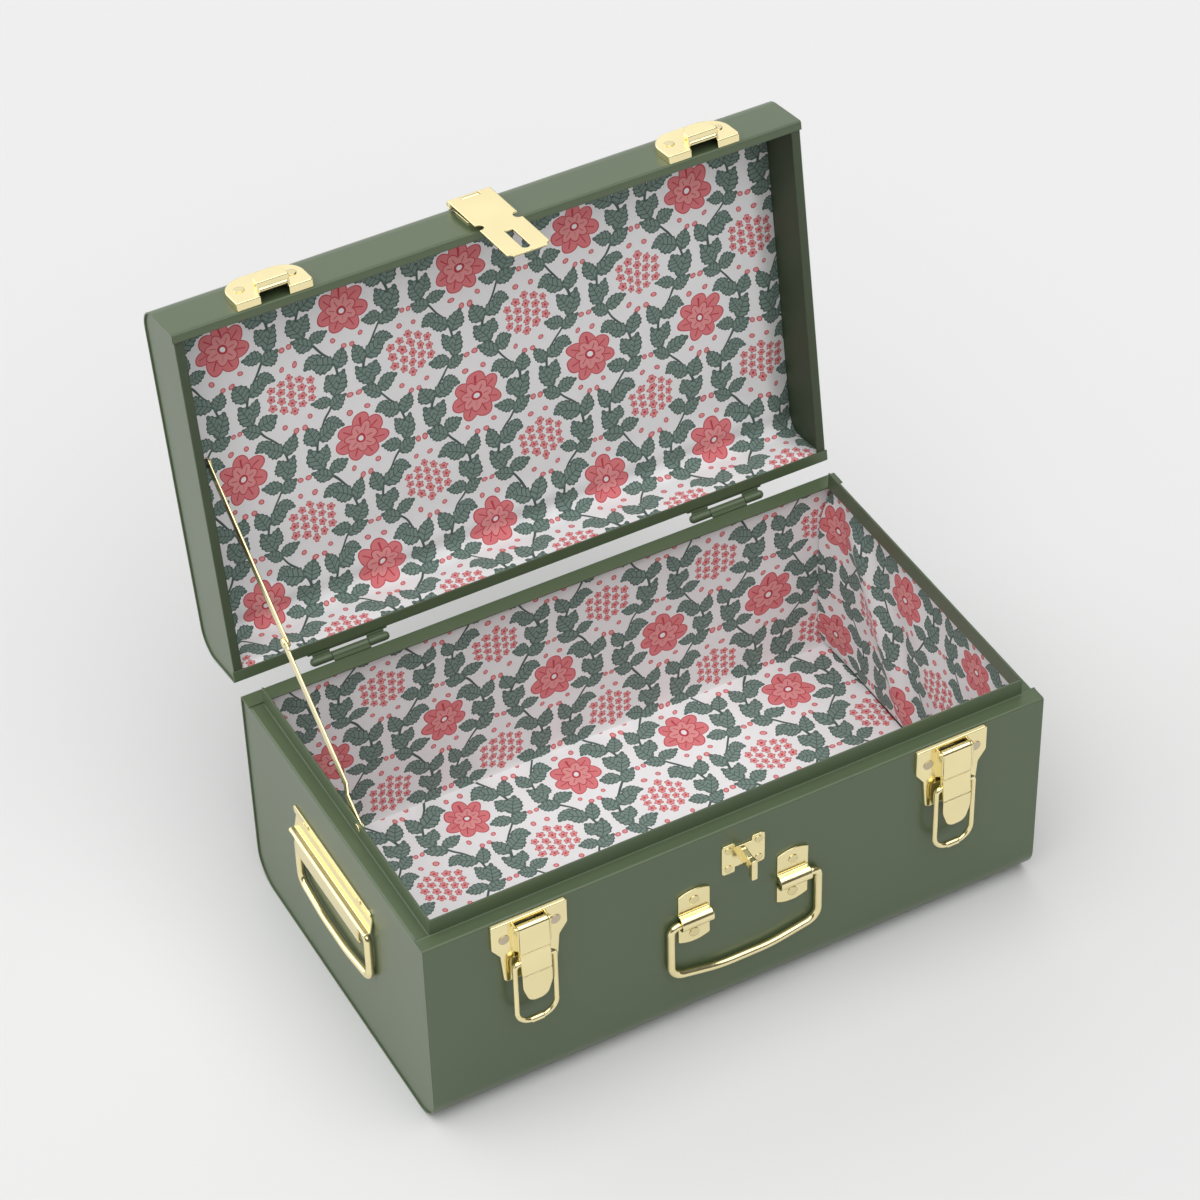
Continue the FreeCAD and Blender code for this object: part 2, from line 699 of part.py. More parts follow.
def latch_plate(centre):
    """The latch's base: a shouldered tray with a window and two ears for the pin."""
    top = LATCH_TOP
    left = [
        (-LATCH_FOOT_HALF_WIDTH, top - LATCH_HEIGHT),
        (-LATCH_WAIST_HALF_WIDTH, top - LATCH_SHOULDER_BOTTOM),
        (-LATCH_HALF_WIDTH, top - LATCH_SHOULDER_TOP),
        (-LATCH_HALF_WIDTH, top),
    ]
    radii = [LATCH_CORNER, LATCH_CORNER, LATCH_CORNER, LATCH_TOP_CORNER]
    solid = tray(mirrored(left), radii + radii[::-1], LATCH_DEPTH, LATCH_SHEET, LATCH_EDGE)
    window_top = top - LATCH_WINDOW_DROP
    window = [
        (-LATCH_WINDOW_HALF_WIDTH, window_top - LATCH_WINDOW_HEIGHT),
        (LATCH_WINDOW_HALF_WIDTH, window_top - LATCH_WINDOW_HEIGHT),
        (LATCH_WINDOW_HALF_WIDTH, window_top),
        (-LATCH_WINDOW_HALF_WIDTH, window_top),
    ]
    solid = solid.cut(plate(window, 0, LATCH_DEPTH + OVERRUN, -OVERRUN / 2))
    root = LATCH_DEPTH - LATCH_SHEET / 2
    ear_points = [
        (root, LATCH_PIN_Z - LATCH_EAR_DROP - LATCH_EAR_FOOT),
        (LATCH_EAR_DEPTH, LATCH_PIN_Z - LATCH_EAR_DROP),
        (LATCH_EAR_DEPTH, LATCH_PIN_Z + LATCH_EAR_RISE),
        (root, LATCH_PIN_Z + LATCH_EAR_RISE - LATCH_EDGE),
    ]
    ear_face = Part.Face(closed_wire(ear_points, [0, LATCH_EAR_CORNER, LATCH_EAR_CORNER, 0]))
    ear_x = LEVER_HALF_WIDTH + LATCH_EAR_GAP + LATCH_EAR / 2
    ears = [across(ear_face, sign * ear_x, LATCH_EAR / 2) for sign in SIDES.values()]
    solid = solid.fuse(ears).removeSplitter()
    solid = solid.cut(latch_axis(ear_x + LATCH_EAR, LATCH_PIN_RADIUS + PIN_FIT))
    solid.translate(Vec(centre, 0, 0))
    return solid


def latch_axis(half_length, radius):
    start = Vec(-half_length, LATCH_PIN_Z, LATCH_PIN_OUT)
    return rod(radius, start, start + EAST * (2 * half_length))


def latch_pin(centre):
    half = LEVER_HALF_WIDTH + LATCH_EAR_GAP + LATCH_EAR
    solid = latch_axis(half, LATCH_PIN_RADIUS)
    for sign in SIDES.values():
        start = Vec(sign * half, LATCH_PIN_Z, LATCH_PIN_OUT)
        solid = solid.fuse(rod(LATCH_PIN_HEAD_RADIUS, start, start + EAST * (sign * LATCH_PIN_HEAD)))
    solid = solid.removeSplitter()
    solid.translate(Vec(centre, 0, 0))
    return solid


def latch_lever(centre):
    """The lever: a barrel on the pin, a channel down to the loop's sleeve, and a round-tipped tongue."""
    break_z = LATCH_PIN_Z - LEVER_BREAK_DROP
    crease_z = LATCH_PIN_Z - LEVER_CREASE_DROP
    tip_z = LATCH_PIN_Z - LEVER_TIP_DROP
    start_out = LATCH_PIN_OUT + LEVER_BARREL_RADIUS
    upper = [(start_out, LATCH_PIN_Z), (LEVER_BREAK_OUT, break_z)]
    lower = [
        (LEVER_BREAK_OUT - LEVER_STEP, break_z + LEVER_SHEET),
        (LEVER_CREASE_OUT, crease_z),
        (LEVER_TIP_OUT, tip_z),
    ]
    upper_plate = across(strip_face(upper, 0, -LEVER_SHEET), 0, LEVER_HALF_WIDTH)
    tongue = across(strip_face(lower, 0, -LEVER_SHEET), 0, LEVER_HALF_WIDTH)
    left = [
        (-LEVER_TIP_HALF_WIDTH, tip_z),
        (-LEVER_HALF_WIDTH, tip_z + LEVER_TIP_TAPER),
        (-LEVER_HALF_WIDTH, LATCH_PIN_Z),
    ]
    radii = [LEVER_TIP_CORNER, LEVER_SIDE_CORNER, 0]
    tongue = tongue.common(plate(mirrored(left), radii + radii[::-1], LEVER_TIP_OUT + OVERRUN))
    barrel = latch_axis(LEVER_HALF_WIDTH, LEVER_BARREL_RADIUS)
    sleeve_radius = LOOP_RADIUS + LOOP_SLEEVE
    sleeve = loop_axis(LEVER_HALF_WIDTH, sleeve_radius)
    cheek = [
        (start_out - LEVER_CHEEK_DEPTH, LATCH_PIN_Z),
        (LOOP_OUT - sleeve_radius / 2, LOOP_Z),
        (LEVER_BREAK_OUT - LEVER_SHEET / 2, break_z),
        (start_out - LEVER_SHEET / 2, LATCH_PIN_Z),
    ]
    cheek_face = Part.Face(closed_wire(cheek))
    cheek_x = LEVER_HALF_WIDTH - LEVER_CHEEK / 2
    cheeks = [across(cheek_face, sign * cheek_x, LEVER_CHEEK / 2) for sign in SIDES.values()]
    solid = upper_plate.fuse([tongue, barrel, sleeve] + cheeks).removeSplitter()
    folds = [
        (break_z, LEVER_FOLD, LEVER_BREAK_OUT - LEVER_STEP - LEVER_FOLD_DEPTH),
        (crease_z, LEVER_CREASE_FOLD, LEVER_CREASE_OUT - LEVER_CREASE_DEPTH),
    ]
    side = LATCH_HALF_WIDTH
    grooves = [block((-side, z - width, out), (side, z, out + OVERRUN)) for z, width, out in folds]
    bores = [
        latch_axis(LATCH_HALF_WIDTH, LATCH_PIN_RADIUS + PIN_FIT),
        loop_axis(LATCH_HALF_WIDTH, LOOP_RADIUS + PIN_FIT),
    ]
    solid = solid.cut(grooves + bores)
    solid.translate(Vec(centre, 0, 0))
    return solid


def loop_axis(half_length, radius):
    start = Vec(-half_length, LOOP_Z, LOOP_OUT)
    return rod(radius, start, start + EAST * (2 * half_length))


def latch_loop(centre):
    """The wire loop through the lever's sleeve, its ends lapped in a short joint at the bottom."""
    low = LOOP_Z - LOOP_LENGTH
    corner = LOOP_RADIUS * 2
    points = [(0, LOOP_Z), (LOOP_HALF_WIDTH, LOOP_Z), (LOOP_HALF_WIDTH, low), (0, low)]
    half = bent_rod(open_wire(points, [corner, LOOP_CORNER]), LOOP_RADIUS)
    other = half.mirror(Vec(), EAST)
    joint = rod(LOOP_JOINT_RADIUS, Vec(-LOOP_JOINT / 2, low, 0), Vec(LOOP_JOINT / 2, low, 0))
    solid = half.fuse([other, joint]).removeSplitter()
    solid.translate(Vec(centre, 0, LOOP_OUT))
    return solid


def latches():
    for side, sign in SIDES.items():
        centre = sign * LATCH_X
        base = put(latch_plate(centre), FRONT)
        keep(f"{side}_latch_plate", drill(base, rivet_holes(LATCH_RIVETS[side], FRONT)))
        keep(f"{side}_latch_rivets", rivet_set(LATCH_RIVETS[side], LATCH_DEPTH, LATCH_DEPTH + SHEET, FRONT))
        keep(f"{side}_latch_pin", put(latch_pin(centre), FRONT))
        keep(f"{side}_latch_lever", put(latch_lever(centre), FRONT))
        keep(f"{side}_latch_loop", put(latch_loop(centre), FRONT))


def catch_plate(centre):
    """The lid's half of a latch: a tray with a pressed hood over an open mouth, its lip rolled."""
    half = LATCH_HALF_WIDTH
    left = [
        (-half, CATCH_RISE),
        (-half, CATCH_RISE + CATCH_HEIGHT),
    ]
    radii = [LATCH_TOP_CORNER, CATCH_CORNER]
    solid = tray(mirrored(left), radii + radii[::-1], CATCH_DEPTH, LATCH_SHEET, LATCH_EDGE)
    front = CATCH_RISE + CATCH_HOOK_FRONT
    root = CATCH_DEPTH - LATCH_SHEET
    left = [
        (-CATCH_HOOK_HALF_WIDTH, front),
        (-CATCH_HOOK_HALF_WIDTH, front + CATCH_HOOK_LENGTH),
    ]
    radii = [0, CATCH_HOOK_CORNER]
    rise = CATCH_HOOK_DEPTH - root
    hood = tray(mirrored(left), radii + radii[::-1], rise, CATCH_HOOK_SHEET, CATCH_HOOK_BEND)
    hood.translate(UP * root)
    inside = CATCH_HOOK_HALF_WIDTH - CATCH_HOOK_SHEET
    mouth = block(
        (-inside, CATCH_RISE - OVERRUN, -OVERRUN),
        (inside, CATCH_RISE + CATCH_MOUTH_LENGTH, CATCH_LIP_OUT),
    )
    lip_start = Vec(-inside, front + CATCH_HOOK_SHEET / 2, CATCH_LIP_OUT)
    lip = rod(CATCH_LIP_RADIUS, lip_start, lip_start + EAST * (2 * inside))
    solid = solid.fuse(hood).removeSplitter().cut(mouth).fuse(lip).removeSplitter()
    solid.translate(Vec(centre, 0, 0))
    return solid


def catches():
    for side, sign in SIDES.items():
        solid = put(catch_plate(sign * LATCH_X), LID_FRONT)
        keep_open(f"{side}_catch", drill(solid, rivet_holes(CATCH_RIVETS[side], LID_FRONT)))
        rivets = rivet_set(CATCH_RIVETS[side], CATCH_DEPTH, CATCH_DEPTH + SHEET, LID_FRONT)
        keep_open(f"{side}_catch_rivets", rivets)


def hasp_axis(low, high, radius):
    start = Vec(low, HASP_AXIS_RISE, HASP_AXIS_OUT)
    return rod(radius, start, start + EAST * (high - low))


def hasp_leaf():
    """The fixed leaf under the strap, with the hinge's middle knuckle."""
    half = HASP_LEAF_HALF_WIDTH
    low = HASP_AXIS_RISE - HASP_LEAF_HEIGHT
    points = [(-half, low), (half, low), (half, HASP_AXIS_RISE - HASP_BARREL_RADIUS)]
    points.append((-half, HASP_AXIS_RISE - HASP_BARREL_RADIUS))
    leaf = plate(points, [HASP_LEAF_CORNER, HASP_LEAF_CORNER, 0, 0], HASP_SHEET)
    knuckle_half = HASP_KNUCKLE_HALF_WIDTH - HASP_KNUCKLE_GAP
    neck = block(
        (-knuckle_half, HASP_AXIS_RISE - HASP_BARREL_RADIUS, 0),
        (knuckle_half, HASP_AXIS_RISE, HASP_SHEET),
    )
    barrel = hasp_axis(-knuckle_half, knuckle_half, HASP_BARREL_RADIUS)
    solid = leaf.fuse([neck, barrel]).removeSplitter()
    solid = solid.cut(hasp_axis(-HASP_HALF_WIDTH, HASP_HALF_WIDTH, HASP_PIN_RADIUS + PIN_FIT))
    return drill(put(solid, LID_FRONT), rivet_holes(HASP_RIVETS, LID_FRONT))


def hasp_strap():
    """The swinging strap: waist notches, a slot for the lock's post and ticket-cut end corners."""
    half = HASP_HALF_WIDTH
    end = HASP_AXIS_RISE - HASP_LENGTH
    out = HASP_AXIS_OUT + HASP_BARREL_RADIUS - HASP_SHEET
    points = [(-half, end), (half, end), (half, HASP_AXIS_RISE), (-half, HASP_AXIS_RISE)]
    solid = plate(points, 0, HASP_SHEET, out)
    cutters = []
    notch_z = HASP_AXIS_RISE - HASP_NOTCH_TOP - HASP_NOTCH_LENGTH / 2
    for sign in SIDES.values():
        centre = Vec(sign * (half - HASP_NOTCH_DEPTH + HASP_NOTCH_LENGTH / 2), notch_z, 0)
        cutters.append(Part.makeCylinder(HASP_NOTCH_LENGTH / 2, OVERRUN * 2, centre))
        low, high = sorted((centre.x, sign * (half + OVERRUN)))
        cutters.append(
            block(
                (low, notch_z - HASP_NOTCH_LENGTH / 2, 0),
                (high, notch_z + HASP_NOTCH_LENGTH / 2, OVERRUN * 2),
            )
        )
        cutters.append(Part.makeCylinder(HASP_TICKET, OVERRUN * 2, Vec(sign * half, end, 0)))
    slot_top = HASP_AXIS_RISE - HASP_SLOT_TOP
    slot = [
        (-HASP_SLOT_WIDTH / 2, slot_top - HASP_SLOT_LENGTH),
        (HASP_SLOT_WIDTH / 2, slot_top - HASP_SLOT_LENGTH),
        (HASP_SLOT_WIDTH / 2, slot_top),
        (-HASP_SLOT_WIDTH / 2, slot_top),
    ]
    slot_end = HASP_SLOT_WIDTH / 2 - SEAM
    cutters.append(plate(slot, [slot_end, slot_end, SEAM, SEAM], OVERRUN * 2))
    clear = HASP_BARREL_RADIUS + HASP_KNUCKLE_GAP
    cutters.append(
        block(
            (-HASP_KNUCKLE_HALF_WIDTH, HASP_AXIS_RISE - clear, 0),
            (HASP_KNUCKLE_HALF_WIDTH, HASP_AXIS_RISE + OVERRUN, OVERRUN * 2),
        )
    )
    solid = solid.cut(cutters)
    barrels = [
        hasp_axis(-half, -HASP_KNUCKLE_HALF_WIDTH, HASP_BARREL_RADIUS),
        hasp_axis(HASP_KNUCKLE_HALF_WIDTH, half, HASP_BARREL_RADIUS),
    ]
    solid = solid.fuse(barrels).removeSplitter()
    solid = solid.cut(hasp_axis(-half - OVERRUN, half + OVERRUN, HASP_PIN_RADIUS + PIN_FIT))
    solid.rotate(Vec(0, HASP_AXIS_RISE, HASP_AXIS_OUT), EAST, HASP_TILT)
    return put(solid, LID_FRONT)


def hasp():
    keep_open("hasp_leaf", hasp_leaf())
    keep_open("hasp_rivets", rivet_set(HASP_RIVETS, HASP_SHEET, HASP_SHEET + SHEET, LID_FRONT))
    keep_open("hasp_pin", put(hasp_axis(-HASP_HALF_WIDTH, HASP_HALF_WIDTH, HASP_PIN_RADIUS), LID_FRONT))
    keep_open("hasp_strap", hasp_strap())


def lock():
    """The bow-tie lock plate with its post, and the toggle that turns on the post's end."""
    outer_x, outer_z = LOCK_HALF_WIDTH, LOCK_HALF_HEIGHT
    neck_x, neck_z = LOCK_NECK_HALF_WIDTH, LOCK_NECK_HALF_HEIGHT
    left = [
        (-neck_x, LOCK_Z - neck_z),
        (-neck_x, LOCK_Z - outer_z),
        (-outer_x, LOCK_Z - outer_z),
        (-outer_x, LOCK_Z + outer_z),
        (-neck_x, LOCK_Z + outer_z),
        (-neck_x, LOCK_Z + neck_z),
    ]
    radii = [0, LOCK_CORNER / 2, LOCK_CORNER, LOCK_CORNER, LOCK_CORNER / 2, 0]
    solid = plate(mirrored(left), radii + radii[::-1], LOCK_SHEET)
    side_view = [
        (0, LOCK_Z - LOCK_POST_HALF_HEIGHT),
        (LOCK_POST_OUT, LOCK_Z - LOCK_POST_HALF_HEIGHT + LOCK_POST_CORNER),
        (LOCK_POST_OUT, LOCK_Z + LOCK_POST_HALF_HEIGHT - LOCK_POST_CORNER),
        (0, LOCK_Z + LOCK_POST_HALF_HEIGHT),
    ]
    face = Part.Face(closed_wire(side_view, [0, LOCK_POST_CORNER, LOCK_POST_CORNER, 0]))
    post = across(face, 0, LOCK_POST_HALF_WIDTH)
    pin_start = Vec(0, LOCK_Z, LOCK_POST_OUT - OVERRUN / 2)
    toggle_face = LOCK_POST_OUT + TOGGLE_GAP
    pin_end = Vec(0, LOCK_Z, toggle_face + TOGGLE_DEPTH - TOGGLE_GAP)
    pin = rod(LOCK_PIN_RADIUS, pin_start, pin_end)
    solid = solid.fuse([post, pin]).removeSplitter()
    keep("lock_plate", drill(put(solid, FRONT), rivet_holes(LOCK_RIVETS, FRONT)))
    rivets = rivet_set(
        LOCK_RIVETS,
        LOCK_SHEET,
        LOCK_SHEET + SHEET,
        FRONT,
        head_radius=LOCK_RIVET_HEAD_RADIUS,
        head=LOCK_RIVET_HEAD,
    )
    keep("lock_rivets", rivets)
    outline = [
        (-TOGGLE_HALF_WIDTH, LOCK_Z - TOGGLE_DOWN),
        (TOGGLE_HALF_WIDTH, LOCK_Z - TOGGLE_DOWN),
        (TOGGLE_HALF_WIDTH, LOCK_Z + TOGGLE_UP),
        (-TOGGLE_HALF_WIDTH, LOCK_Z + TOGGLE_UP),
    ]
    toggle = plate(outline, TOGGLE_HALF_WIDTH / 2, TOGGLE_DEPTH, toggle_face)
    bore = rod(LOCK_PIN_RADIUS + PIN_FIT, pin_start, pin_end)
    keep("lock_toggle", put(toggle.cut(bore), FRONT))


def arched_plate(half_width, low, high, arch):
    """A bracket's front view, its top and bottom edges bowed."""
    corners = [
        Vec(-half_width, low + arch, 0),
        Vec(half_width, low + arch, 0),
        Vec(half_width, high - arch, 0),
        Vec(-half_width, high - arch, 0),
    ]
    edges = [
        Part.Arc(corners[0], Vec(0, low, 0), corners[1]).toShape(),
        Part.LineSegment(corners[1], corners[2]).toShape(),
        Part.Arc(corners[2], Vec(0, high, 0), corners[3]).toShape(),
        Part.LineSegment(corners[3], corners[0]).toShape(),
    ]
    return Part.Face(Part.Wire(edges))


def bail_path(half_width, top, corner_low, bottom, flat_half, start):
    """The left half of a hanging handle, from inside its bracket round to its lowest point."""
    return [
        (-start, top),
        (-half_width, top),
        (-half_width, corner_low),
        (-flat_half, bottom),
    ]


def front_handle():
    """Two strap brackets and the bail that hangs in them."""
    low = FRONT_ROD_Z - ROD_RADIUS - ROD_PLAY
    high = FRONT_ROD_Z + FRONT_HUMP_RISE
    hump = [
        (0, FRONT_BRACKET_BOTTOM),
        (0, low),
        (FRONT_HUMP_OUT, low),
        (FRONT_HUMP_OUT, high),
        (0, high),
        (0, FRONT_BRACKET_TOP),
    ]
    bends = [FRONT_HUMP_BEND, ROD_RADIUS + ROD_PLAY, FRONT_HUMP_CROWN, FRONT_HUMP_BEND]
    face = strip_face(hump, bends, -FRONT_BRACKET_SHEET)
    front_view = arched_plate(
        FRONT_BRACKET_HALF_WIDTH, FRONT_BRACKET_BOTTOM, FRONT_BRACKET_TOP, FRONT_BRACKET_ARCH
    ).extrude(UP * (FRONT_HUMP_OUT + OVERRUN))
    bracket = across(face, 0, FRONT_BRACKET_HALF_WIDTH).common(front_view)
    holes = rivet_holes(FRONT_RIVETS, FRONT)
    for side, sign in SIDES.items():
        solid = bracket.copy()
        solid.translate(EAST * (sign * FRONT_BRACKET_X))
        keep(f"front_handle_{side}_bracket", drill(put(solid, FRONT), holes))
    grip = FRONT_BRACKET_SHEET + SHEET
    keep("front_handle_rivets", rivet_set(FRONT_RIVETS, FRONT_BRACKET_SHEET, grip, FRONT))
    inner_end = FRONT_BRACKET_X - FRONT_BRACKET_HALF_WIDTH + SHEET
    half = bail_path(
        FRONT_BAIL_HALF_WIDTH,
        FRONT_ROD_Z,
        FRONT_BAIL_CORNER_Z,
        FRONT_BAIL_BOTTOM_Z,
        FRONT_BAIL_FLAT_HALF_WIDTH,
        inner_end,
    )
    radii = [FRONT_BAIL_TOP_CORNER, FRONT_BAIL_BOTTOM_CORNER, FRONT_BAIL_BOW_RADIUS]
    bail = bent_rod(open_wire(mirrored(half), radii + radii[::-1]), ROD_RADIUS)
    bail.translate(UP * FRONT_ROD_OUT)
    keep("front_handle_bail", put(bail, FRONT))


def side_handle(side, place):
    """A long folded bracket on an end panel and the closed bail that swings in its channel."""
    profile = [
        (SIDE_EDGE_OUT, SIDE_EDGE_Z),
        (SIDE_BAND_OUT, SIDE_BAND_Z),
        (SIDE_BAND_OUT, SIDE_ROOF_Z),
        (SIDE_VALLEY_OUT, SIDE_VALLEY_Z),
        (0, SIDE_FLANGE_FOOT),
        (0, SIDE_FLANGE_TOP),
    ]
    bends = [HUMP_BEND, HUMP_BEND, SIDE_VALLEY_BEND, HUMP_BEND]
    face = strip_face(profile, bends, -SIDE_BRACKET_SHEET)
    lip, roof = SIDE_LIP_HALF_LENGTH, SIDE_ROOF_HALF_LENGTH
    foot = SIDE_EDGE_Z - OVERRUN
    outline = [
        (-lip, foot),
        (lip, foot),
        (lip, SIDE_VALLEY_Z),
        (roof, SIDE_VALLEY_Z),
        (roof, SIDE_FLANGE_TOP),
        (-SIDE_FLANGE_FAR, SIDE_FLANGE_TOP),
        (-SIDE_FLANGE_FAR, SIDE_FLANGE_FOOT),
        (-roof, SIDE_FLANGE_FOOT),
        (-roof, SIDE_VALLEY_Z),
        (-lip, SIDE_VALLEY_Z),
    ]
    round_end = SIDE_FLANGE_CORNER / 2
    radii = [0, 0, 0, 0, SIDE_FLANGE_CORNER, round_end, round_end, 0, 0, 0]
    front_view = plate(outline, radii, SIDE_BAND_OUT + OVERRUN, -OVERRUN / 2)
    bracket = across(face, 0, SIDE_FLANGE_FAR).common(front_view)
    keep(f"{side}_handle_bracket", drill(put(bracket, place), rivet_holes(SIDE_RIVETS, place)))
    grip = SIDE_BRACKET_SHEET + SHEET
    rivets = rivet_set(SIDE_RIVETS, SIDE_BRACKET_SHEET, grip, place, head_radius=SIDE_RIVET_HEAD_RADIUS)
    keep(f"{side}_handle_rivets", rivets)
    path = bail_path(
        SIDE_BAIL_HALF_WIDTH,
        SIDE_ROD_Z,
        SIDE_BAIL_CORNER_Z,
        SIDE_BAIL_BOTTOM_Z,
        SIDE_BAIL_FLAT_HALF_WIDTH,
        ROD_PLAY,
    )
    radii = [SIDE_BAIL_TOP_CORNER, SIDE_BAIL_BOTTOM_CORNER, FRONT_BAIL_BOW_RADIUS]
    bail = bent_rod(open_wire(mirrored(path), radii + radii[::-1]), ROD_RADIUS)
    bail.translate(UP * SIDE_ROD_OUT)
    keep(f"{side}_handle_bail", put(bail, place))


def link_outline(length):
    """A round-ended link lying along local x from its pivot."""
    half = STAY_HALF_WIDTH
    points = [(-half, -half), (length + half, -half), (length + half, half), (-half, half)]
    return points, half - SEAM


def stay_lower_link():
    """The lower link, joggled inwards above the lip so that it clears the rim."""
    points, radius = link_outline(STAY_LINK)
    outline = plate(points, radius, STAY_JOGGLE + STAY_SHEET + OVERRUN, -OVERRUN / 2)
    joggle_end = STAY_JOGGLE_START + STAY_JOGGLE_RUN
    path = [
        (-STAY_HALF_WIDTH, 0),
        (STAY_JOGGLE_START, 0),
        (joggle_end, STAY_JOGGLE),
        (STAY_LINK + STAY_HALF_WIDTH, STAY_JOGGLE),
    ]
    band = strip_face(path, STAY_SHEET, STAY_SHEET)
    band = put(band, placement(Vec(0, STAY_HALF_WIDTH, 0), EAST, UP))
    solid = band.extrude(-NORTH * (2 * STAY_HALF_WIDTH)).common(outline)
    ear = block(
        (STAY_LINK - STAY_EAR_LENGTH, 0, STAY_JOGGLE),
        (STAY_LINK, STAY_HALF_WIDTH + STAY_EAR, STAY_JOGGLE + STAY_SHEET),
    )
    head = Part.makeCylinder(STAY_HEAD_RADIUS, STAY_HEAD, Vec(STAY_LINK, 0, STAY_JOGGLE - STAY_HEAD))
    solid = solid.fuse([ear, head]).removeSplitter()
    bore = Part.makeCylinder(STAY_RIVET_RADIUS + PIN_FIT, OVERRUN, Vec(0, 0, -OVERRUN / 2))
    return solid.cut(bore)


def stay_upper_link():
    """The upper link, flat, with its half of the elbow rivet."""
    points, radius = link_outline(STAY_LINK)
    solid = plate(points, radius, STAY_SHEET)
    head = Part.makeCylinder(STAY_HEAD_RADIUS, STAY_HEAD, Vec(STAY_LINK, 0, STAY_SHEET))
    solid = solid.fuse(head).removeSplitter()
    return solid.cut(Part.makeCylinder(STAY_RIVET_RADIUS + PIN_FIT, OVERRUN, Vec(0, 0, -OVERRUN / 2)))


def link_place(pivot, direction, x):
    """Local x along the link in the YZ plane and local z towards the inside of the trunk."""
    along = Vec(0, cos(direction), sin(direction))
    return placement(Vec(x, *pivot), along, EAST.cross(along))


def headed_pin(start, end, heads):
    """A pin along X with a head outside each named end."""
    pieces = [rod(STAY_RIVET_RADIUS, start, end)]
    for foot, out in heads:
        pieces.append(rod(STAY_HEAD_RADIUS, foot, foot + EAST * (out * STAY_HEAD)))
    return pieces[0].fuse(pieces[1:]).removeSplitter()


def stay():
    """The folding stay: straight when the lid is open, folded towards the hinge when it is shut."""
    body_pivot = STAY_BODY
    lid_pivot = STAY_LID
    body_level = radians(-STAY_BODY_RISE)
    lid_level = radians(-STAY_LID_RISE)
    lower = link_place(body_pivot, body_level + STAY_ANGLE, STAY_LOWER_X)
    keep("stay_lower_link", put(stay_lower_link(), lower))
    upper = link_place(lid_pivot, lid_level - STAY_ANGLE, STAY_UPPER_X)
    keep_open("stay_upper_link", put(stay_upper_link(), upper))

    lip_face = Vec(-LIP_X, *body_pivot)
    inner_face = Vec(STAY_LOWER_X + STAY_SHEET + PIN_FIT, *body_pivot)
    keep("stay_body_rivet", headed_pin(lip_face, inner_face, [(lip_face, -1), (inner_face, 1)]))

    wall = Vec(-END_INNER, *lid_pivot)
    shoulder = Vec(STAY_UPPER_X - PIN_FIT, *lid_pivot)
    outer = Vec(STAY_UPPER_X + STAY_SHEET + PIN_FIT, *lid_pivot)
    post = rod(STAY_POST_RADIUS, wall, shoulder)
    post = post.cut(rod(STAY_RIVET_RADIUS + PIN_FIT, wall, shoulder))
    keep_open("stay_lid_spacer", post)
    keep_open("stay_lid_rivet", headed_pin(wall, outer, [(outer, 1)]))


def shells():
    keep("body_wrap", body_wrap())
    keep("body_left_end", body_end(-1))
    keep("body_right_end", body_end(1))
    keep_open("lid_wrap", lid_wrap())
    keep_open("lid_left_end", lid_end(-1))
    keep_open("lid_right_end", lid_end(1))
    keep_open("lid_lining", lid_lining())


def main():
    shells()
    lining_boards()
    for side, sign in SIDES.items():
        hinge(side, sign)
    latches()
    catches()
    hasp()
    lock()
    front_handle()
    side_handle("left", LEFT)
    side_handle("right", RIGHT)
    stay()
    os.makedirs("parts", exist_ok=True)
    for name, shape in PARTS.items():
        shape.exportStep(f"parts/{name}.step")
        count = len(shape.Solids)
        print(f"{name}: {count} solid(s), {shape.Volume:.1f} mm3, valid {shape.isValid()}")
    shut_half = radians(STAY_LID_RISE - STAY_BODY_RISE) / 2
    shut_angle = asin(STAY_REACH * sin(shut_half) / STAY_LINK) - shut_half
    print(f"stay link {STAY_LINK:.3f}, turns {degrees(STAY_ANGLE - shut_angle):.3f} degrees")
    print(f"hinge axis y {HINGE_Y}, z {HINGE_Z}")


main()
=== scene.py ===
"""Looks of the storage trunk: painted steel, brass plate and a printed cloth lining, on a pale floor."""
import json

import bpy
from math import cos, exp, pi, radians, sin, tau
from mathutils import Matrix, Vector, noise


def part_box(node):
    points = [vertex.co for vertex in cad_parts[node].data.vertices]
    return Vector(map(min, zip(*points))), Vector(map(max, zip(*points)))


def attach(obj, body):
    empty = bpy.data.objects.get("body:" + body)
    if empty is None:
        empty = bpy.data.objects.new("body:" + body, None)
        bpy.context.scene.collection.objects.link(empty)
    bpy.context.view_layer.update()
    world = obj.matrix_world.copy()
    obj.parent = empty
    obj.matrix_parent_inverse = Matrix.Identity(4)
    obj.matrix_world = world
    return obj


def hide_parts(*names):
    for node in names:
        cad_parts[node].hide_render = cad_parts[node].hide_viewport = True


bl_info = {
    "name": "Storage Trunk Looks",
    "version": (1, 0, 0),
    "blender": (4, 5, 0),
    "location": "View3D > Sidebar > Trunk",
    "description": "Paints, plates and lines a small steel storage trunk",
    "category": "Object",
}

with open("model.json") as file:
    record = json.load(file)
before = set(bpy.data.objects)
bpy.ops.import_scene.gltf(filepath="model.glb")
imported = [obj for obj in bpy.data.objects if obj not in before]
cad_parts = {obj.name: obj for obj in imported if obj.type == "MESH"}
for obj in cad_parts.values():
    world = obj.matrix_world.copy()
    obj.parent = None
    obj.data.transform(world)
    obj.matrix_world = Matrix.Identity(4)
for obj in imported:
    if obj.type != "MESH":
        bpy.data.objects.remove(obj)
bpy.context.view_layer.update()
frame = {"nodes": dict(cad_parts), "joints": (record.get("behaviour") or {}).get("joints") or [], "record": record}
MM = 0.001
LID_JOINT = next(joint for joint in frame["joints"] if joint["name"] == "lid_swing")
SLOTS = {row["node"]: row["material_slot"] for row in frame["record"]["subparts"]}


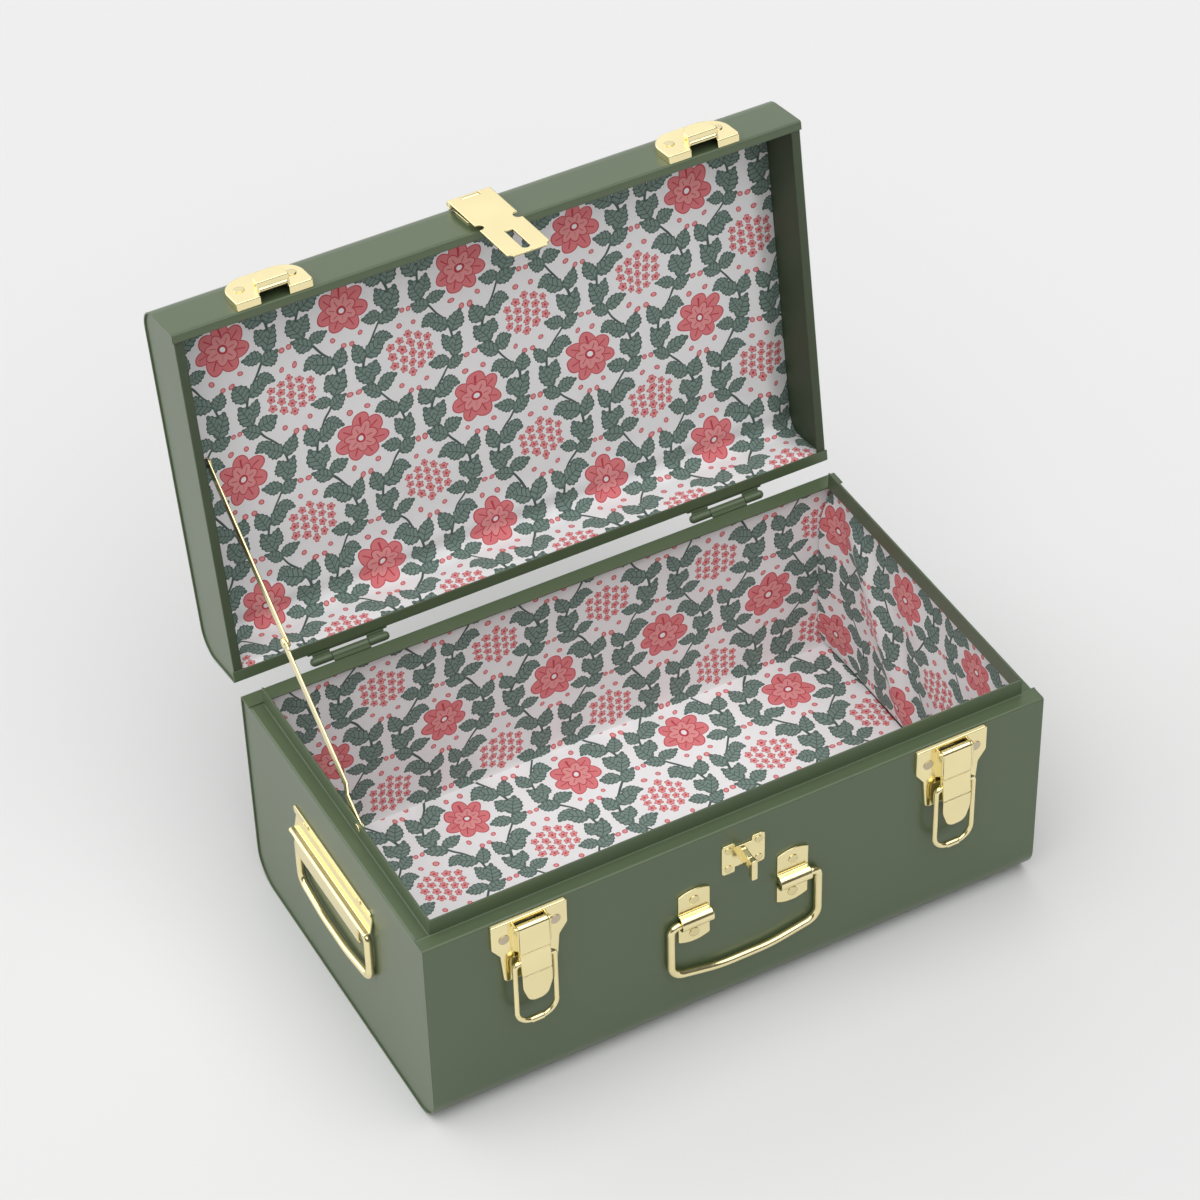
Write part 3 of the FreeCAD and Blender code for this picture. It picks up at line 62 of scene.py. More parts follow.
class TrunkFinish(bpy.types.PropertyGroup):
    """Colours and surface finish of the steel and the hardware."""

    paint: bpy.props.FloatVectorProperty(
        name="Paint", description="Colour of the satin paint", default=(0.092, 0.128, 0.067),
        size=3, subtype="COLOR", min=0, max=1,
    )
    paint_roughness: bpy.props.FloatProperty(
        name="Paint Roughness", description="Roughness of the satin paint", default=0.31,
        min=0, max=1, subtype="FACTOR",
    )
    peel: bpy.props.FloatProperty(
        name="Orange Peel", description="Size of the ripple in the paint", default=2.2 * MM,
        min=0.1 * MM, unit="LENGTH",
    )
    brass: bpy.props.FloatVectorProperty(
        name="Brass", description="Colour of the polished brass plate", default=(0.98, 0.85, 0.48),
        size=3, subtype="COLOR", min=0, max=1,
    )
    brass_roughness: bpy.props.FloatProperty(
        name="Brass Roughness", description="Roughness of the polished plate", default=0.15,
        min=0, max=1, subtype="FACTOR",
    )
    rivet: bpy.props.FloatVectorProperty(
        name="Rivet", description="Colour of the dull rivet heads", default=(0.66, 0.58, 0.42),
        size=3, subtype="COLOR", min=0, max=1,
    )
    edge: bpy.props.FloatProperty(
        name="Soft Edge", description="Rounding seen along the edges of sheet metal", default=0.3 * MM,
        min=0, unit="LENGTH",
    )


class TrunkLining(bpy.types.PropertyGroup):
    """Sizes of the padded lining and colours of its print."""

    step: bpy.props.FloatProperty(
        name="Step", description="Spacing of the cloth's grid", default=2.5 * MM,
        min=0.5 * MM, unit="LENGTH",
    )
    puff: bpy.props.FloatProperty(
        name="Puff", description="How far the cloth swells over its board", default=0.9 * MM,
        min=0, unit="LENGTH",
    )
    roll: bpy.props.FloatProperty(
        name="Roll", description="Width over which a panel's edge rolls back", default=1.8 * MM,
        min=0.1 * MM, unit="LENGTH",
    )
    wave: bpy.props.FloatProperty(
        name="Wave", description="Height of the loose waves in the cloth", default=0.45 * MM,
        min=0, unit="LENGTH",
    )
    pucker: bpy.props.FloatProperty(
        name="Pucker", description="Height of the gathers along a bend", default=1.1 * MM,
        min=0, unit="LENGTH",
    )
    lap: bpy.props.FloatProperty(
        name="Lap", description="How far the lid's cloth swells over its lower crease", default=2.4 * MM,
        min=0, unit="LENGTH",
    )
    seam: bpy.props.FloatProperty(
        name="Seam", description="Gap between the floor's cloth and each end wall", default=1.3 * MM,
        min=0, unit="LENGTH",
    )
    fold: bpy.props.FloatProperty(
        name="End Fold", description="Height of the fold along each end of the lid's cloth", default=2.2 * MM,
        min=0, unit="LENGTH",
    )
    cove: bpy.props.FloatProperty(
        name="Cove", description="How far the cloth rounds off the crease at the back of the floor",
        default=1.8 * MM, min=0, unit="LENGTH",
    )
    cove_run: bpy.props.FloatProperty(
        name="Cove Run", description="Width over which that crease is rounded", default=4.0 * MM,
        min=0.1 * MM, unit="LENGTH",
    )
    slack: bpy.props.FloatProperty(
        name="Slack", description="How far the loose cloth of an end wall stands off its board",
        default=8.0 * MM, min=0, unit="LENGTH",
    )
    ground: bpy.props.FloatVectorProperty(
        name="Ground", description="Colour of the cotton", default=(0.90, 0.895, 0.905),
        size=3, subtype="COLOR", min=0, max=1,
    )
    leaf: bpy.props.FloatVectorProperty(
        name="Leaf", description="Colour of the leaves", default=(0.205, 0.285, 0.25),
        size=3, subtype="COLOR", min=0, max=1,
    )
    leaf_line: bpy.props.FloatVectorProperty(
        name="Leaf Line", description="Colour of leaf outlines and stems", default=(0.075, 0.115, 0.104),
        size=3, subtype="COLOR", min=0, max=1,
    )
    petal: bpy.props.FloatVectorProperty(
        name="Petal", description="Colour of the outer petals", default=(0.76, 0.22, 0.235),
        size=3, subtype="COLOR", min=0, max=1,
    )
    petal_pale: bpy.props.FloatVectorProperty(
        name="Pale Petal", description="Colour of the inner petals", default=(0.80, 0.32, 0.32),
        size=3, subtype="COLOR", min=0, max=1,
    )
    petal_line: bpy.props.FloatVectorProperty(
        name="Petal Line", description="Colour of petal outlines", default=(0.56, 0.05, 0.075),
        size=3, subtype="COLOR", min=0, max=1,
    )


class TrunkStage(bpy.types.PropertyGroup):
    """Camera, floor and light."""

    camera_place: bpy.props.FloatVectorProperty(
        name="Camera", description="Place of the camera", default=(-0.70894, -1.31503, 1.54103),
        size=3, subtype="TRANSLATION", unit="LENGTH",
    )
    camera_turn: bpy.props.FloatVectorProperty(
        name="Camera Turn", description="Turn of the camera",
        default=(radians(48.0395), radians(1.2463), radians(-28.6969)), size=3, subtype="EULER",
    )
    camera_angle: bpy.props.FloatProperty(
        name="Field of View", description="Angle that the square frame takes in",
        default=radians(17.222), subtype="ANGLE",
    )
    floor: bpy.props.FloatVectorProperty(
        name="Floor", description="Colour of the floor", default=(0.745, 0.745, 0.745),
        size=3, subtype="COLOR", min=0, max=1,
    )
    floor_size: bpy.props.FloatProperty(
        name="Floor Size", description="Side of the floor", default=12.0, min=1, unit="LENGTH",
    )
    key: bpy.props.FloatProperty(
        name="Key Light", description="Strength of the broad overhead light", default=2.75, min=0,
    )
    sky: bpy.props.FloatProperty(
        name="Sky", description="Strength of the light from all round", default=0.13, min=0,
    )
    back_glow: bpy.props.FloatProperty(
        name="Back Glow", description="Strength of the soft panel behind the trunk", default=0.9, min=0,
    )
    left_glow: bpy.props.FloatProperty(
        name="Left Glow", description="Strength of the soft panel to the left", default=1.9, min=0,
    )


class Value:
    """A shader value. Arithmetic on it adds Math nodes to its material."""

    def __init__(self, graph, socket):
        self.graph = graph
        self.socket = socket

    def math(self, operation, *others):
        """One Math node on this value and others."""
        node = self.graph.tree.nodes.new("ShaderNodeMath")
        node.operation = operation
        for socket, value in zip(node.inputs, (self,) + others):
            self.graph.feed(socket, value)
        return Value(self.graph, node.outputs[0])

    def reflected(self, operation, other):
        """One Math node with a plain number before this value."""
        node = self.graph.tree.nodes.new("ShaderNodeMath")
        node.operation = operation
        node.inputs[0].default_value = other
        self.graph.feed(node.inputs[1], self)
        return Value(self.graph, node.outputs[0])

    def __add__(self, other):
        return self.math("ADD", other)

    def __sub__(self, other):
        return self.math("SUBTRACT", other)

    def __rsub__(self, other):
        return self.reflected("SUBTRACT", other)

    def __mul__(self, other):
        return self.math("MULTIPLY", other)

    def __rmul__(self, other):
        return self.math("MULTIPLY", other)

    def __truediv__(self, other):
        return self.math("DIVIDE", other)

    def __abs__(self):
        return self.math("ABSOLUTE")

    def __lt__(self, other):
        return self.math("LESS_THAN", other)

    def __gt__(self, other):
        return self.math("GREATER_THAN", other)


class Graph:
    """The node tree of a material or a world, with one way to add a node."""

    def __init__(self, block):
        self.block = block
        block.use_nodes = True
        self.tree = block.node_tree
        self.tree.nodes.clear()

    def feed(self, socket, value):
        """Link a socket to a shader value, or set it to a plain one."""
        if isinstance(value, Value):
            self.tree.links.new(value.socket, socket)
        elif isinstance(value, bpy.types.NodeSocket):
            self.tree.links.new(value, socket)
        else:
            socket.default_value = value

    def add(self, kind, settings=None, sockets=None, out=0):
        """Add a node, set it up, feed its sockets and give back one of its outputs."""
        node = self.tree.nodes.new(kind)
        for key, value in (settings or {}).items():
            setattr(node, key, value)
        for key, value in (sockets or {}).items():
            self.feed(node.inputs[key], value)
        return Value(self, node.outputs[out]) if node.outputs else None

    def mix(self, factor, first, second):
        """Blend two colours."""
        settings = {"data_type": "RGBA"}
        return self.add("ShaderNodeMix", settings, {0: factor, 6: first, 7: second}, 2)

    def edge(self, distance, soft):
        """One inside a shape and zero outside it, with a soft edge."""
        sockets = {"Value": distance, "From Min": soft, "From Max": -soft}
        return self.add("ShaderNodeMapRange", None, sockets)

    def surface(self, **sockets):
        """The finished surface, from the sockets of one Principled shader."""
        named = {key.replace("_", " "): value for key, value in sockets.items()}
        shader = self.add("ShaderNodeBsdfPrincipled", None, named)
        self.add("ShaderNodeOutputMaterial", None, {"Surface": shader})
        return self.block


def colour(values):
    """An opaque colour."""
    return (*values, 1.0)


def new_material(name):
    """The empty graph of a new material."""
    return Graph(bpy.data.materials.new(name))


def object_place(graph):
    """Place on the object, in metres."""
    return graph.add("ShaderNodeTexCoord", out="Object")


# Noise of the finishes, in ripples per metre
PAINT_DRIFT = 9.0
PLATE_DRIFT = 60.0
PLATE_FINE = 900.0
RIVET_FINE = 1500.0
STEEL_FINE = 1200.0
PLASTIC_GRAIN = 1400.0
# Darkest and lightest tone of each finish, as shares of its colour
PAINT_TONES = (0.94, 1.06)
PLATE_TONES = (0.95, 1.04)
RIVET_TONES = (0.8, 1.1)
# How much the roughness of each finish varies, and its least value where no property sets it
PAINT_UNEVEN = 0.08
PLATE_UNEVEN = 0.06
PLATE_HAZE = 0.05
RIVET_UNEVEN, RIVET_ROUGH = 0.15, 0.36
STEEL_UNEVEN, STEEL_ROUGH = 0.2, 0.25
PLASTIC_UNEVEN, PLASTIC_ROUGH = 0.2, 0.4
# Strength of the bumps: orange peel, pressed sheet, turned marks, moulded grain and weave
PEEL_BUMP = 0.05
SHEET_BUMP = 0.12
TURNED_BUMP = 0.15
GRAIN_BUMP = 0.2
WEAVE_BUMP = 0.25
# Depth of fine marks, and of the unevenness of pressed sheet
MARK_DEPTH = 0.1 * MM
SHEET_DEPTH = 0.3 * MM
# Rounding of the painted and the plated edges, as multiples of the soft edge, and rays that look for it
PAINT_EDGE = 2
PLATE_EDGE = 3
EDGE_SAMPLES = 12
# Darkest and lightest colour of the steel pins and of the plastic
STEEL_COLOURS = ((0.42, 0.42, 0.42), (0.56, 0.56, 0.55))
PLASTIC_COLOURS = ((0.012, 0.012, 0.013), (0.03, 0.03, 0.03))
# Inner face of the lid's ends, from the trunk's middle; inside it the paint is darkened as painted shade and made
# duller
LID_END_INNER = 178.8 * MM
INNER_PAINTED_SHADE = 0.6
INNER_DULL = 0.3
# How the plate of the rivet heads differs from that of the hardware
RIVET_SHADE = 0.86
RIVET_DULL = 0.08


def cloudy(graph, scale, detail):
    """Soft noise about one half."""
    sockets = {"Vector": object_place(graph), "Scale": scale, "Detail": detail}
    return graph.add("ShaderNodeTexNoise", {"noise_dimensions": "3D"}, sockets, "Fac")


def coordinates(graph, place):
    """The first two coordinates of a place."""
    split = graph.tree.nodes.new("ShaderNodeSeparateXYZ")
    graph.feed(split.inputs[0], place)
    return Value(graph, split.outputs[0]), Value(graph, split.outputs[1])


def drifting(graph, factor, tint, tones, shade=1.0):
    """A colour that drifts between a darker and a lighter tone of one tint."""
    dark = colour([part * tones[0] * shade for part in tint])
    light = colour([min(part * tones[1], 1.0) * shade for part in tint])
    return graph.mix(factor, dark, light)


def bumped(graph, height, strength, depth, edge=0.0):
    """The normal of a finely bumped surface, rounded along its edges if asked."""
    sockets = {"Height": height, "Strength": strength, "Distance": depth}
    if edge:
        sockets["Normal"] = graph.add("ShaderNodeBevel", {"samples": EDGE_SAMPLES}, {"Radius": edge})
    return graph.add("ShaderNodeBump", None, sockets)


def satin_paint(finish, name, inner_face=None):
    """Sprayed satin paint with a faint orange peel and uneven gloss, darkened with painted shade and duller behind
    an inner face.
    """
    graph = new_material(name)
    peel = cloudy(graph, 1 / finish.peel, 1.0)
    drift = cloudy(graph, PAINT_DRIFT, 3.0)
    tone = drifting(graph, drift, finish.paint, PAINT_TONES)
    rough = drift * PAINT_UNEVEN + (finish.paint_roughness - PAINT_UNEVEN / 2)
    if inner_face:
        across, _ = coordinates(graph, object_place(graph))
        inside = abs(across) < inner_face
        # Painted shade: the inner faces of the lid's ends are darkened to stand in for the shadow inside the lid
        tone = graph.mix(inside, tone, colour([part * INNER_PAINTED_SHADE for part in finish.paint]))
        rough = rough + inside * INNER_DULL
    bump = bumped(graph, peel, PEEL_BUMP, MARK_DEPTH, finish.edge * PAINT_EDGE)
    return graph.surface(Base_Color=tone, Roughness=rough, Normal=bump, Specular_IOR_Level=0.5)


def brass_plate(finish, name, shade=1.0, dull=0.0):
    """Polished brass plate with the faint unevenness of pressed sheet, darker and duller if asked."""
    graph = new_material(name)
    drift = cloudy(graph, PLATE_DRIFT, 0.0)
    fine = cloudy(graph, PLATE_FINE, 2.0)
    tone = drifting(graph, drift, finish.brass, PLATE_TONES, shade)
    rough = drift * PLATE_UNEVEN + fine * PLATE_HAZE
    rough = rough + (finish.brass_roughness + dull - PLATE_HAZE)
    bump = bumped(graph, drift, SHEET_BUMP, SHEET_DEPTH, finish.edge * PLATE_EDGE)
    return graph.surface(Base_Color=tone, Metallic=1.0, Roughness=rough, Normal=bump)


def dull_rivet(finish):
    """Dull plated rivet heads with turned marks."""
    graph = new_material("dull_rivet_plate")
    fine = cloudy(graph, RIVET_FINE, 3.0)
    tone = drifting(graph, fine, finish.rivet, RIVET_TONES)
    rough = fine * RIVET_UNEVEN + RIVET_ROUGH
    bump = bumped(graph, fine, TURNED_BUMP, MARK_DEPTH, finish.edge)
    return graph.surface(Base_Color=tone, Metallic=1.0, Roughness=rough, Normal=bump)


def pin_steel():
    """Bright drawn steel of the hinge pins."""
    graph = new_material("pin_steel")
    fine = cloudy(graph, STEEL_FINE, 2.0)
    tone = graph.mix(fine, *map(colour, STEEL_COLOURS))
    rough = fine * STEEL_UNEVEN + STEEL_ROUGH
    return graph.surface(Base_Color=tone, Metallic=1.0, Roughness=rough)


def black_spacer():
    """Matt black plastic with a fine moulded grain."""
    graph = new_material("black_spacer_plastic")
    grain = cloudy(graph, PLASTIC_GRAIN, 2.0)
    tone = graph.mix(grain, *map(colour, PLASTIC_COLOURS))
    rough = grain * PLASTIC_UNEVEN + PLASTIC_ROUGH
    bump = bumped(graph, grain, GRAIN_BUMP, MARK_DEPTH)
    return graph.surface(Base_Color=tone, Roughness=rough, Normal=bump)


# Print of the lining, in millimetres: a lattice of swaying stems with rosettes and posies in its meshes
REPEAT_WIDE = 34.0
REPEAT_TALL = 39.0
STEM_SWAY = 9.0
STEM_HALF = 0.75
# How far the print strays from its lattice, and the ripples per millimetre of that
STRAY = 5.0
STRAY_SCALE = 0.045
NOISE_MIDDLE = (0.5, 0.5, 0.5)
# Softness of a printed edge
SOFT = 0.12
# Rosette: its height, its petals and the radii of its eye
ROSE_HEIGHT = 19.5
PETALS = 7
PETAL_TURN = 0.25
EYE = 2.7
EYE_MIDDLE = 1.5
# A ring's petals: middle, half length, half width, and half width, start and end of their lines
OUTER_RING = (9.0, 5.6, 4.6, 0.3, 7.0, 12.0)
INNER_RING = (5.2, 4.0, 2.9, 0.22, 3.4, 6.5)
# Outline of a petal and its softness, as shares of the petal
OUTER_RIM, OUTER_SOFT = 0.1, 0.02
INNER_RIM, INNER_SOFT = 0.14, 0.03
# Posy: its radius, the spacing of its florets, and a floret's radius, lobes, outline and eye
POSY = 12.4
FLORET = 5.3
FLORET_RADIUS = 1.6
FLORET_LOBES = 5
FLORET_SCALLOP = 0.9
FLORET_RIM = 0.4
FLORET_EYE = 0.7
# Leaf, as shares of its length and half width: fullness, teeth, rib, veins and outline
LEAF_FULL, LEAF_TAPER = 5.2, -2.2
LEAF_TEETH, TOOTH = 38.0, 0.07
RIB_HALF = 0.05
VEINS, VEIN_SLANT, VEIN_HALF, VEIN_SOFT = 5.5, 0.9, 0.1, 0.04
LEAF_SPREAD, LEAF_SOFT = 0.02, 0.03
LEAF_LINE_IN, LEAF_LINE_HALF = 0.06, 0.09
BERRY_RIM = 0.45
# Weave: pitch of its threads in millimetres, and depth between them
THREAD = 0.5
THREAD_DEPTH = 0.08 * MM
# Base across, base up, turn in degrees, length and half width of each leaf
LEAVES = (
    (23.0, 9.0, 62, 16.0, 4.5),
    (25.9, 23.5, 68, 13.5, 4.3),
    (19.0, 2.9, 28, 13.0, 4.0),
    (21.4, 6.8, 166, 12.5, 4.0),
    (24.6, 12.6, 116, 12.0, 4.3),
    (24.6, 26.5, 152, 14.5, 4.6),
    (18.8, 36.0, 206, 11.5, 3.7),
)
# Centre across, centre up and radius of each berry
BERRIES = ((31.9, 7.2, 1.6), (31.6, 36.6, 1.6), (4.5, 36.4, 1.6), (7.6, 2.4, 1.5))


def printed_cotton(lining):
    """Woven cotton printed with rosettes, leaves, berries and small dots."""
    graph = new_material("printed_cotton")
    flat = graph.add("ShaderNodeUVMap", {"uv_map": "cloth"})
    flat = graph.add("ShaderNodeVectorMath", {"operation": "SCALE"}, {0: flat, "Scale": 1 / MM})
    sockets = {"Vector": flat, "Scale": STRAY_SCALE, "Detail": 1.0}
    wander = graph.add("ShaderNodeTexNoise", {"noise_dimensions": "2D"}, sockets, "Color")
    wander = graph.add("ShaderNodeVectorMath", {"operation": "SUBTRACT"}, {0: wander, 1: NOISE_MIDDLE})
    wander = graph.add("ShaderNodeVectorMath", {"operation": "SCALE"}, {0: wander, "Scale": STRAY})
    flat = graph.add("ShaderNodeVectorMath", {"operation": "ADD"}, {0: flat, 1: wander})
    across, along = coordinates(graph, flat)

    # Fold the cloth into one repeat: mirrored sideways, mirrored and lifted by half a lattice upwards
    folded = across.math("PINGPONG", REPEAT_WIDE)
    row = (along / REPEAT_TALL).math("FLOOR")
    y = along - row * REPEAT_TALL
    odd = row.math("FLOORED_MODULO", 2.0)
    x = folded + odd * (REPEAT_WIDE - 2 * folded)
    point = graph.add("ShaderNodeCombineXYZ", None, {0: x, 1: y})

    sway = (y * (pi / REPEAT_TALL)).math("SINE") * STEM_SWAY
    stem = abs(x - sway - REPEAT_WIDE / 2) - STEM_HALF

    nearest = None
    for base_x, base_y, turn, length, half in LEAVES:
        settings = {"vector_type": "TEXTURE"}
        sockets = {
            "Vector": point,
            "Location": (base_x, base_y, 0),
            "Rotation": (0, 0, radians(turn)),
            "Scale": (length, half, 1),
        }
        local = graph.add("ShaderNodeMapping", settings, sockets)
        run, side = coordinates(graph, local)
        profile = run * (1 - run) * run.math("MULTIPLY_ADD", LEAF_TAPER, LEAF_FULL)
        gap = abs(side) - profile * (run < 1.0) + (run > 1.0)
        if nearest is None:
            nearest, place = gap, local
        else:
            closer = gap < nearest
            nearest = nearest.math("MINIMUM", gap)
            sockets = {0: closer, 4: place, 5: local}
            place = graph.add("ShaderNodeMix", {"data_type": "VECTOR"}, sockets, 1)
    run, side = coordinates(graph, place)
    side = abs(side)
    leaf = nearest + (run * LEAF_TEETH).math("SINE") * TOOTH
    rib = side - RIB_HALF
    slant = abs((run * VEINS - side * VEIN_SLANT).math("FRACT") - 0.5) - VEIN_HALF
    vein = rib.math("MINIMUM", slant)

    rise = y - ROSE_HEIGHT
    radius = (x * x + rise * rise).math("SQRT")
    angle = rise.math("ARCTAN2", x)

    def petals(turn, middle, long_half, wide_half, line_half, line_start, line_end):
        """A ring of round petals: distance from their outlines, and from their middle lines."""
        fold = (angle + turn).math("PINGPONG", pi / PETALS)
        out = radius * fold.math("COSINE")
        off = radius * fold.math("SINE")
        reach = (out - middle) / long_half
        width = off / wide_half
        line = (off - line_half).math("MAXIMUM", line_start - radius)
        line = line.math("MAXIMUM", radius - line_end)
        return (reach * reach + width * width).math("SQRT") - 1, line

    outer, outer_line = petals(PETAL_TURN, *OUTER_RING)
    inner, inner_line = petals(PETAL_TURN + pi / PETALS, *INNER_RING)

    # Every second mesh holds a posy of florets in place of the rosette
    column = (x / FLORET + 0.5).math("FLOOR")
    lane = column.math("FLOORED_MODULO", 2.0) * 0.5
    level = (rise / FLORET + lane + 0.5).math("FLOOR") - lane
    dot_x = x - column * FLORET
    dot_y = rise - level * FLORET
    reach = (dot_x * dot_x + dot_y * dot_y).math("SQRT")
    lobes = abs((dot_y.math("ARCTAN2", dot_x) * (FLORET_LOBES / 2)).math("COSINE"))
    ring = reach - lobes * FLORET_SCALLOP - FLORET_RADIUS
    posy = ((column * column + level * level).math("SQRT") < POSY / FLORET) * odd
    ground, leaf_line = colour(lining.ground), colour(lining.leaf_line)
    petal_pale, petal_line = colour(lining.petal_pale), colour(lining.petal_line)
    tone = graph.mix(graph.edge(ring, SOFT) * posy, ground, petal_line)
    tone = graph.mix(graph.edge(ring + FLORET_RIM, SOFT) * posy, tone, petal_pale)
    tone = graph.mix(graph.edge(reach - FLORET_EYE, SOFT) * posy, tone, petal_line)
    tone = graph.mix(graph.edge(stem, SOFT), tone, leaf_line)
    shade = graph.mix(graph.edge(vein, VEIN_SOFT), colour(lining.leaf), leaf_line)
    outline = abs(leaf + LEAF_LINE_IN) - LEAF_LINE_HALF
    shade = graph.mix(graph.edge(outline, LEAF_SOFT), shade, leaf_line)
    tone = graph.mix(graph.edge(leaf - LEAF_SPREAD, LEAF_SOFT), tone, shade)
    for centre_x, centre_y, size in BERRIES:
        off_x = x - centre_x
        off_y = y - centre_y
        berry = (off_x * off_x + off_y * off_y).math("SQRT") - size
        rim = graph.mix(graph.edge(berry + BERRY_RIM, SOFT), petal_line, petal_pale)
        tone = graph.mix(graph.edge(berry, SOFT), tone, rim)
    rose = 1 - odd
    bloom = graph.mix(graph.edge(outer_line, SOFT), colour(lining.petal), petal_line)
    bloom = graph.mix(graph.edge(outer + OUTER_RIM, OUTER_SOFT), petal_line, bloom)
    tone = graph.mix(graph.edge(outer, OUTER_SOFT) * rose, tone, bloom)
    bloom = graph.mix(graph.edge(inner_line, SOFT), petal_pale, petal_line)
    bloom = graph.mix(graph.edge(inner + INNER_RIM, INNER_SOFT), petal_line, bloom)
    tone = graph.mix(graph.edge(inner, INNER_SOFT) * rose, tone, bloom)
    tone = graph.mix(graph.edge(radius - EYE, SOFT) * rose, tone, petal_line)
    tone = graph.mix(graph.edge(radius - EYE_MIDDLE, SOFT) * rose, tone, ground)

    warp = (across * (tau / THREAD)).math("SINE")
    weft = (along * (tau / THREAD)).math("SINE")
    bump = bumped(graph, warp * weft, WEAVE_BUMP, THREAD_DEPTH)
    return graph.surface(
        Base_Color=tone, Roughness=0.88, Normal=bump, Specular_IOR_Level=0.25, Sheen_Weight=0.12
    )


def select_only(piece):
    """Leave one object selected and active."""
    bpy.ops.object.select_all(action="DESELECT")
    piece.select_set(True)
    bpy.context.view_layer.objects.active = piece


def cloth_panel(name, wide, tall, step, shape, origin=(0.0, 0.0)):
    """A flat grid of cloth, its flat place kept as its UV map, then laid where it belongs.

    The shape takes a flat place, from the panel's middle, and gives the place in the trunk.
    """
    bpy.ops.object.select_all(action="DESELECT")
    columns = max(round(wide / step), 2)
    rows = max(round(tall / step), 2)
    bpy.ops.mesh.primitive_grid_add(x_subdivisions=columns, y_subdivisions=rows, size=1, calc_uvs=False)
    panel = bpy.context.active_object
    panel.name = name
    panel.data.name = name
    mesh = panel.data
    layer = mesh.uv_layers.new(name="cloth")
    flats = [(vertex.co.x * wide, vertex.co.y * tall) for vertex in mesh.vertices]
    for loop, place in zip(mesh.loops, layer.data):
        across, along = flats[loop.vertex_index]
        place.uv = (origin[0] + across, origin[1] + along)
    for vertex, (across, along) in zip(mesh.vertices, flats):
        vertex.co = shape(across, along)
    return panel


# Thickness of the cloth with its backing, and how much of the floor's board is left out below it
WALL_BACKING = 1.2 * MM
LID_BACKING = 1.4 * MM
FLOOR_BOARD_LESS = 1.2 * MM
# Length of the loose waves in each cloth
FLOOR_WAVE = 60 * MM
WALL_WAVE = 45 * MM
LID_WAVE = 50 * MM
# Where the print starts on the walls and in the lid
WALL_PRINT = 17 * MM
LID_PRINT = (8 * MM, 30 * MM)
# Edges sharper than this stay sharp
SMOOTH_ANGLE = radians(60)


def swell(distance, roll):
    """How full a padded panel is at a distance from its edge, from zero to one."""
    return 1 - exp(-max(distance, 0.0) / roll)


def bell(distance, width):
    """One at no distance, falling away smoothly over a width on both sides."""
    return exp(-((distance / width) ** 2))


def finish_panel(panel, thickness, body, node, material):
    """Give the cloth its backing, smooth it and put it in the place of its solid."""
    select_only(panel)
    backing = panel.modifiers.new("backing", "SOLIDIFY")
    backing.thickness = thickness
    backing.offset = -1
    bpy.ops.object.modifier_apply(modifier=backing.name)
    bpy.ops.object.shade_smooth_by_angle(angle=SMOOTH_ANGLE)
    panel.data.materials.clear()
    panel.data.materials.append(material)
    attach(panel, body)
    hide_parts(node)


def ripple(place, size):
    """Smooth repeatable noise, from about minus one to one."""
    return noise.noise(Vector(place) / size)


class TRUNK_OT_paint_shells(bpy.types.Operator):
    """Spray the steel shells and the hinges with satin paint, with painted shade on the inner faces of the lid's
    ends
    """

    bl_idname = "trunk.paint_shells"
    bl_label = "Paint Shells"

    def execute(self, context):
        finish = context.scene.trunk_finish
        paint_slot("green_paint", satin_paint(finish, "satin_green_paint"))
        # The lid's ends get painted shade on their inner faces
        ends = satin_paint(finish, "satin_green_ends_painted_shade", LID_END_INNER)
        for name in ("lid_left_end", "lid_right_end"):
            paint_node(name, ends)
        paint_slot("pin_steel", pin_steel())
        return {"FINISHED"}


class TRUNK_OT_plate_hardware(bpy.types.Operator):
    """Plate the latches, hasp, handles and stay"""

    bl_idname = "trunk.plate_hardware"
    bl_label = "Plate Hardware"

    def execute(self, context):
        finish = context.scene.trunk_finish
        paint_slot("brass_plate", brass_plate(finish, "polished_brass_plate"))
        rivets = brass_plate(finish, "brass_rivet_heads", RIVET_SHADE, RIVET_DULL)
        for name in frame["nodes"]:
            if name.endswith("_rivets"):
                paint_node(name, rivets)
        paint_slot("rivet_steel", dull_rivet(finish))
        paint_slot("black_plastic", black_spacer())
        return {"FINISHED"}


def paint_node(name, material):
    """Give one material to one solid."""
    node = frame["nodes"][name]
    node.data.materials.clear()
    node.data.materials.append(material)


def paint_slot(slot, material):
    """Give one material to every solid of one slot."""
    for name in frame["nodes"]:
        if SLOTS[name] == slot:
            paint_node(name, material)


# Loose cloth of an end wall: how it leaves the rim, the back corner and the floor
HUNG_RUN = 16 * MM
CORNER_RUN = 13 * MM
CORNER_LIFT = 10 * MM
CORNER_FOOT = 0.25
# Its folds: where the first one starts and how it slants, then each one's distance, width, lift and share
CREST_START = 24 * MM
CREST_SLANT = 0.6
END_FOLDS = ((0.0, 13 * MM, 8 * MM, 0.75), (46 * MM, 20 * MM, 12 * MM, 0.3))


